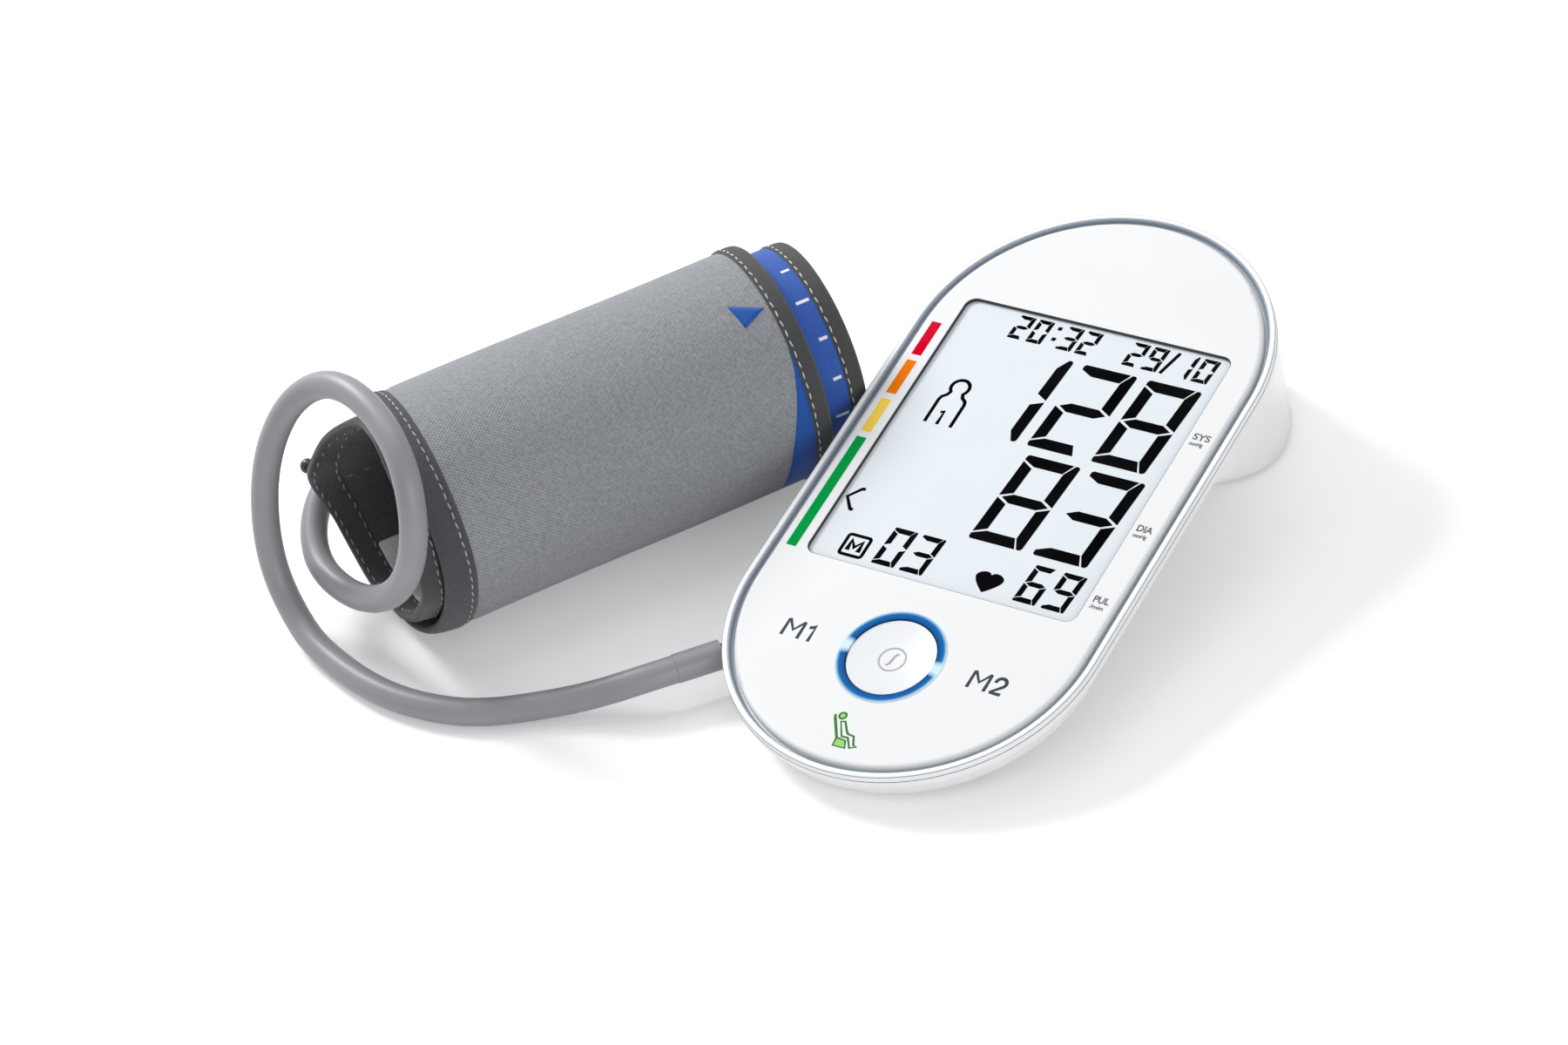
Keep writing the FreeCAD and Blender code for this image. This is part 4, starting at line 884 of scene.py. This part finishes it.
# %% Edge tapes
def tape_ring(section, relief, place_at=inner_askew, steps=192):
    """A section of (along, radius) points spun round the cuff's axis."""
    shape = bmesh.new()
    corners = [shape.verts.new((along, radius, 0)) for along, radius in section]
    edges = [shape.edges.new(pair) for pair in zip(corners, corners[1:] + corners[:1])]
    bmesh.ops.spin(shape, geom=corners + edges, cent=(0, 0, 0), axis=(1, 0, 0),
                   angle=2 * math.pi, steps=steps, use_merge=True)
    bmesh.ops.remove_doubles(shape, verts=shape.verts[:], dist=0.001)
    lay_uv(shape)
    return settle(shape, relief, place_at)


def no_relief(along, angle):
    """An edge that lies evenly all round."""
    return 0


def edge_tape(name, section, relief, material=tape_dark, place_at=inner_askew):
    """A tape on an edge of the cuff."""
    return smooth_once(cuff_piece(name, tape_ring(section, relief, place_at), material, "dark_tape"))


outer_tape = edge_tape("cuff_outer_tape", [
    (44.3, 30.9), (44.5, 31.3), (46.6, 31.42), (48.7, 31.3), (49.35, 30.95), (49.5, 30.0),
    (49.35, 29.2), (48.7, 28.95), (46.6, 28.95), (44.3, 28.95),
], bar_ridge)
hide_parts("cuff_outer_binding")
inner_tape = edge_tape("cuff_inner_tape", [
    (56.2, 27.1), (56.45, 27.62), (58.6, 27.72), (60.7, 27.6), (61.35, 27.25), (61.5, 26.1),
    (61.35, 25.0), (60.7, 24.65), (58.6, 24.6), (56.2, 24.6),
], no_relief)
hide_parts("cuff_inner_binding")
end_tape = edge_tape("cuff_free_end_tape", [
    (-57.3, 27.1), (-57.5, 27.32), (-60.2, 27.4), (-62.2, 27.3), (-62.75, 26.95), (-62.9, 26.0),
    (-62.75, 25.0), (-62.2, 24.55), (-60.2, 24.42), (-57.5, 24.5), (-57.3, 24.7),
], free_end)
hem_tape = edge_tape("cuff_hem_tape", [
    (-43.6, 30.75), (-43.85, 31.1), (-46.5, 31.2), (-48.9, 31.1), (-49.85, 30.75), (-50.05, 29.9),
    (-49.85, 29.1), (-48.9, 28.65), (-46.5, 28.55), (-43.6, 28.6),
], hem_relief, tape_grey, outer_askew)
print("tapes", [tape.name for tape in (outer_tape, inner_tape, end_tape, hem_tape)])

# %% [markdown]
# The blue index band shows whether the cuff fits the arm. It is a thin printed strip on the inner turn,
# with short white marks, and the outer turn carries a blue arrow and a blue wedge beside its tape. Each
# print starts as a few corners, is cut finer, and is then laid on the cloth's own radius.

# %% Index band and its marks
band_section = [(40.0, 27.1), (40.0, 27.42), (56.4, 27.42), (56.4, 27.1)]
band_ring = tape_ring(band_section, no_relief)
index_band = cuff_piece("cuff_index_strip", band_ring, band_blue, "blue_band", smooth=False)
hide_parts("cuff_index_band")
print_white = moulded("print_white", (0.85, 0.86, 0.88), 0.5, shift=0.02)
mark_count, mark_start, mark_pitch = 15, 97, 22.5
mark_end, mark_radius, mark_height, mark_width = 55.7, 27.44, 0.08, 0.85
short_mark, long_mark = 2.3, 3.6
marks = bmesh.new()
for number in range(mark_count):
    length = long_mark if number % 3 == 1 else short_mark
    angle = math.radians(mark_start + mark_pitch * number)
    spot = Matrix.Rotation(angle, 4, "X") @ Matrix.Translation((mark_end - length / 2, mark_radius, 0))
    stretch = Matrix.Diagonal((length, mark_height, mark_width, 1))
    bmesh.ops.create_cube(marks, size=1, matrix=spot @ stretch)
index_marks = cuff_piece("cuff_index_marks", marks, print_white, "blue_band", smooth=False)
print_lift = 0.07


def printed(name, corners, cuts):
    """A print laid on the outer turn: corners are (along, degrees round the roll)."""
    shape = bmesh.new()
    shape.faces.new([shape.verts.new((along, degrees, 0)) for along, degrees in corners])
    bmesh.ops.triangulate(shape, faces=shape.faces[:])
    bmesh.ops.subdivide_edges(shape, edges=shape.edges[:], cuts=cuts, use_grid_fill=True)
    for vertex in shape.verts:
        along, angle = vertex.co.x, math.radians(vertex.co.y)
        radius = cuff_radius + outer_relief(along, angle) + print_lift
        vertex.co = (along, radius * math.cos(angle), radius * math.sin(angle))
    lay_uv(shape)
    return thicken(cuff_piece(name, outward(shape), print_blue, "blue_band"), thickness=0.12, offset=0)


arrow = printed("cuff_index_arrow", [(35.0, 109.9), (43.2, 118.1), (36.4, 124.0)], cuts=5)
wedge_corners = [
    (44.5, 137), (43.6, 150), (42.0, 163), (40.0, 176), (38.0, 190), (36.8, 205), (36.0, 222),
    (44.5, 222), (44.5, 205), (44.5, 190), (44.5, 176), (44.5, 163), (44.5, 150),
]
wedge = printed("cuff_index_wedge", wedge_corners, cuts=3)
print("prints", arrow.name, wedge.name)

# %% [markdown]
# Stitches hold the hems down and catch the light as small pale dashes. One stitch is a ball with few faces,
# drawn out along the seam, and a row of them runs round each hem. Every other stitch is set a little askew,
# as sewn thread is.


# %% Stitch rows
thread = moulded("thread", (0.66, 0.67, 0.69), 0.6, shift=0.06)
thread_mid = moulded("thread_mid", (0.46, 0.47, 0.49), 0.6, shift=0.05)
thread_dim = moulded("thread_dim", (0.36, 0.37, 0.38), 0.6, shift=0.04)
half_width, half_height, stitch_skews, table_gap = 0.2, 0.17, (-0.06, 0.12), 0.4


def add_stitch(shape, along, angle, radius, skew, length=1.9):
    """One stitch: a small ball drawn out along its seam. A skew of a right angle lays it along the cuff."""
    spot = (Matrix.Rotation(angle, 4, "X") @ Matrix.Translation((along, radius, 0))
            @ Matrix.Rotation(skew, 4, "Y") @ Matrix.Diagonal((half_width, half_height, length / 2, 1)))
    bmesh.ops.create_uvsphere(shape, u_segments=6, v_segments=5, radius=1, matrix=spot)


def stitch_row(name, along, radius, relief, count, material, place_at=inner_askew):
    """A ring of short stitches at one place along the cuff, left out where it meets the table."""
    shape = bmesh.new()
    for number in range(count):
        angle = 2 * math.pi * number / count
        reach = radius + relief(along, angle)
        if reach * math.sin(angle) > table_level + table_gap:
            add_stitch(shape, place_at(along, angle), angle, reach, stitch_skews[number % 2])
    return cuff_piece(name, shape, material, "dark_tape")


hem_row = stitch_row("stitches_outer_hem", -45.1, 31.2, bar_ridge, 76, thread_mid, outer_askew)
tape_row = stitch_row("stitches_outer_tape", 45.2, 31.42, bar_ridge, 70, thread)
inner_row = stitch_row("stitches_inner_tape", 57.2, 27.74, no_relief, 62, thread)
end_row = stitch_row("stitches_free_end", -58.1, 27.42, free_end, 60, thread_dim)
inside_row = stitch_row("stitches_free_end_inside", -58.1, 24.42, free_end, 54, thread_dim)
edge_row = stitch_row("stitches_free_end_edge", -61.9, 24.42, free_end, 54, thread_dim)
seam = bmesh.new()
seam_angle, seam_start, seam_pitch, seam_count, seam_radius = math.radians(-1), -56.2, 2.9, 16, 24.6
for number in range(seam_count):
    along = inner_askew(seam_start + seam_pitch * number, seam_angle)
    add_stitch(seam, along, seam_angle, seam_radius, math.pi / 2)
seam_row = cuff_piece("stitches_inside_seam", seam, thread_dim, "dark_fabric")

# %% [markdown]
# Inside the inner turn a paler lining shows at the bottom, and between the two turns lie the air bladder
# and the hook patch. They are bent from flat grids. The bladder and the patch stay where their solids are:
# the corners of the CAD nodes give their turn and their length.


# %% Bladder, hook patch and lining
def bent_sheet(left, right, first, last, base, relief, columns, rows):
    """A grid bent round the cuff's axis between two angles."""
    shape = bmesh.new()
    bmesh.ops.create_grid(shape, x_segments=columns, y_segments=rows, size=0.5)
    for vertex in shape.verts:
        along = left + (vertex.co.x + 0.5) * (right - left)
        angle = first + (vertex.co.y + 0.5) * (last - first)
        radius = base + relief(along, angle)
        vertex.co = (inner_askew(along, angle), radius * math.cos(angle), radius * math.sin(angle))
    lay_uv(shape)
    return outward(shape)


def node_turn(name):
    """The length and the turn that a curved CAD node covers round the cuff's axis."""
    back = cuff_mm.inverted()
    local = [back @ vertex.co for vertex in nodes[name].data.vertices]
    middle = sum((Vector((0, point.y, point.z)) for point in local), Vector())
    centre = math.atan2(middle.z, middle.y)
    turns = [turn_from(math.atan2(point.z, point.y), centre) for point in local]
    along = [point.x for point in local]
    return min(along), max(along), centre + min(turns), centre + max(turns)


layer_radius = 28.65
for node_name, piece_name, finish, slot_name in (
    ("cuff_bladder", "cuff_air_bladder", film_grey, "bladder_film"),
    ("cuff_hook_patch", "cuff_hook_field", hook_dark, "dark_fabric"),
):
    left, right, first, last = node_turn(node_name)
    layer = bent_sheet(left, right, first, last, layer_radius, no_relief, columns=24, rows=48)
    layer_piece = smooth_once(thicken(cuff_piece(piece_name, layer, finish, slot_name), thickness=0.9))
    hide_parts(node_name)
    print(piece_name, [round(c, 2) for c in (left, right, math.degrees(first), math.degrees(last))])
lining_ends, lining_turn, lining_radius = (-57.6, 56.0), (math.radians(205), math.radians(314)), 24.62
lining_shape = bent_sheet(*lining_ends, *lining_turn, lining_radius, free_end, columns=76, rows=30)
lining = cuff_piece("cuff_inside_lining", lining_shape, cloth_lining, "grey_fabric")
smooth_once(thicken(lining, thickness=0.4))
print("lining", len(lining.data.polygons), "faces")

# %% [markdown]
# A studio table: a wide white floor that keeps the object's shadow, a pale world, and large soft lamps.
# The floor adds a little light of its own for camera, glossy and transmission rays only, so the lit floor
# reads as white paper without more light falling on the object.

# %% Floor, world and lamps
floor_mesh = bpy.data.meshes.new("floor")
sheet = bmesh.new()
bmesh.ops.create_grid(sheet, x_segments=1, y_segments=1, size=4)
sheet.to_mesh(floor_mesh)
sheet.free()
floor = bpy.data.objects.new("floor", floor_mesh)
scene.collection.objects.link(floor)


def seen_rays(tree):
    """One where a ray comes from the camera, a glossy surface or glass, and zero elsewhere."""
    path = add_node(tree, "LightPath", {}).outputs
    first = math_node(tree, "MAXIMUM", path["Is Camera Ray"], path["Is Glossy Ray"])
    return math_node(tree, "MAXIMUM", first, path["Is Transmission Ray"])


paper, tree, shader = new_finish("floor_paper")
floor_glow, world_dim, world_bright = 0.26, 0.4, 1.0
lift = math_node(tree, "MULTIPLY", seen_rays(tree), floor_glow)
feed(tree, shader, {
    "Base Color": (0.9, 0.9, 0.91, 1), "Roughness": 0.9, "Specular IOR Level": 0.0,
    "Emission Color": (1, 1, 1, 1), "Emission Strength": lift})
floor_mesh.materials.append(paper)

scene.world = bpy.data.worlds.new("studio")
scene.world.use_nodes = True
tree = scene.world.node_tree
strength = remap(tree, seen_rays(tree), end=(world_dim, world_bright))
feed(tree, tree.nodes["Background"], {"Color": (1, 1, 1, 1), "Strength": strength})


def soft_lamp(name, place, size, power):
    """A square area lamp that looks at the middle of the table."""
    lamp = bpy.data.objects.new(name, bpy.data.lights.new(name, "AREA"))
    scene.collection.objects.link(lamp)
    lamp.data.size, lamp.data.energy = size, power
    way = -Vector(place)
    lamp.matrix_world = Matrix.Translation(place) @ way.to_track_quat("-Z", "Y").to_matrix().to_4x4()


soft_lamp("key_lamp", (-1.0, 0.2, 0.88), size=0.42, power=13.5)
soft_lamp("top_lamp", (-0.3, 0.35, 1.3), size=1.0, power=4.5)
soft_lamp("front_lamp", (1.1, -0.8, 0.35), size=0.8, power=6)
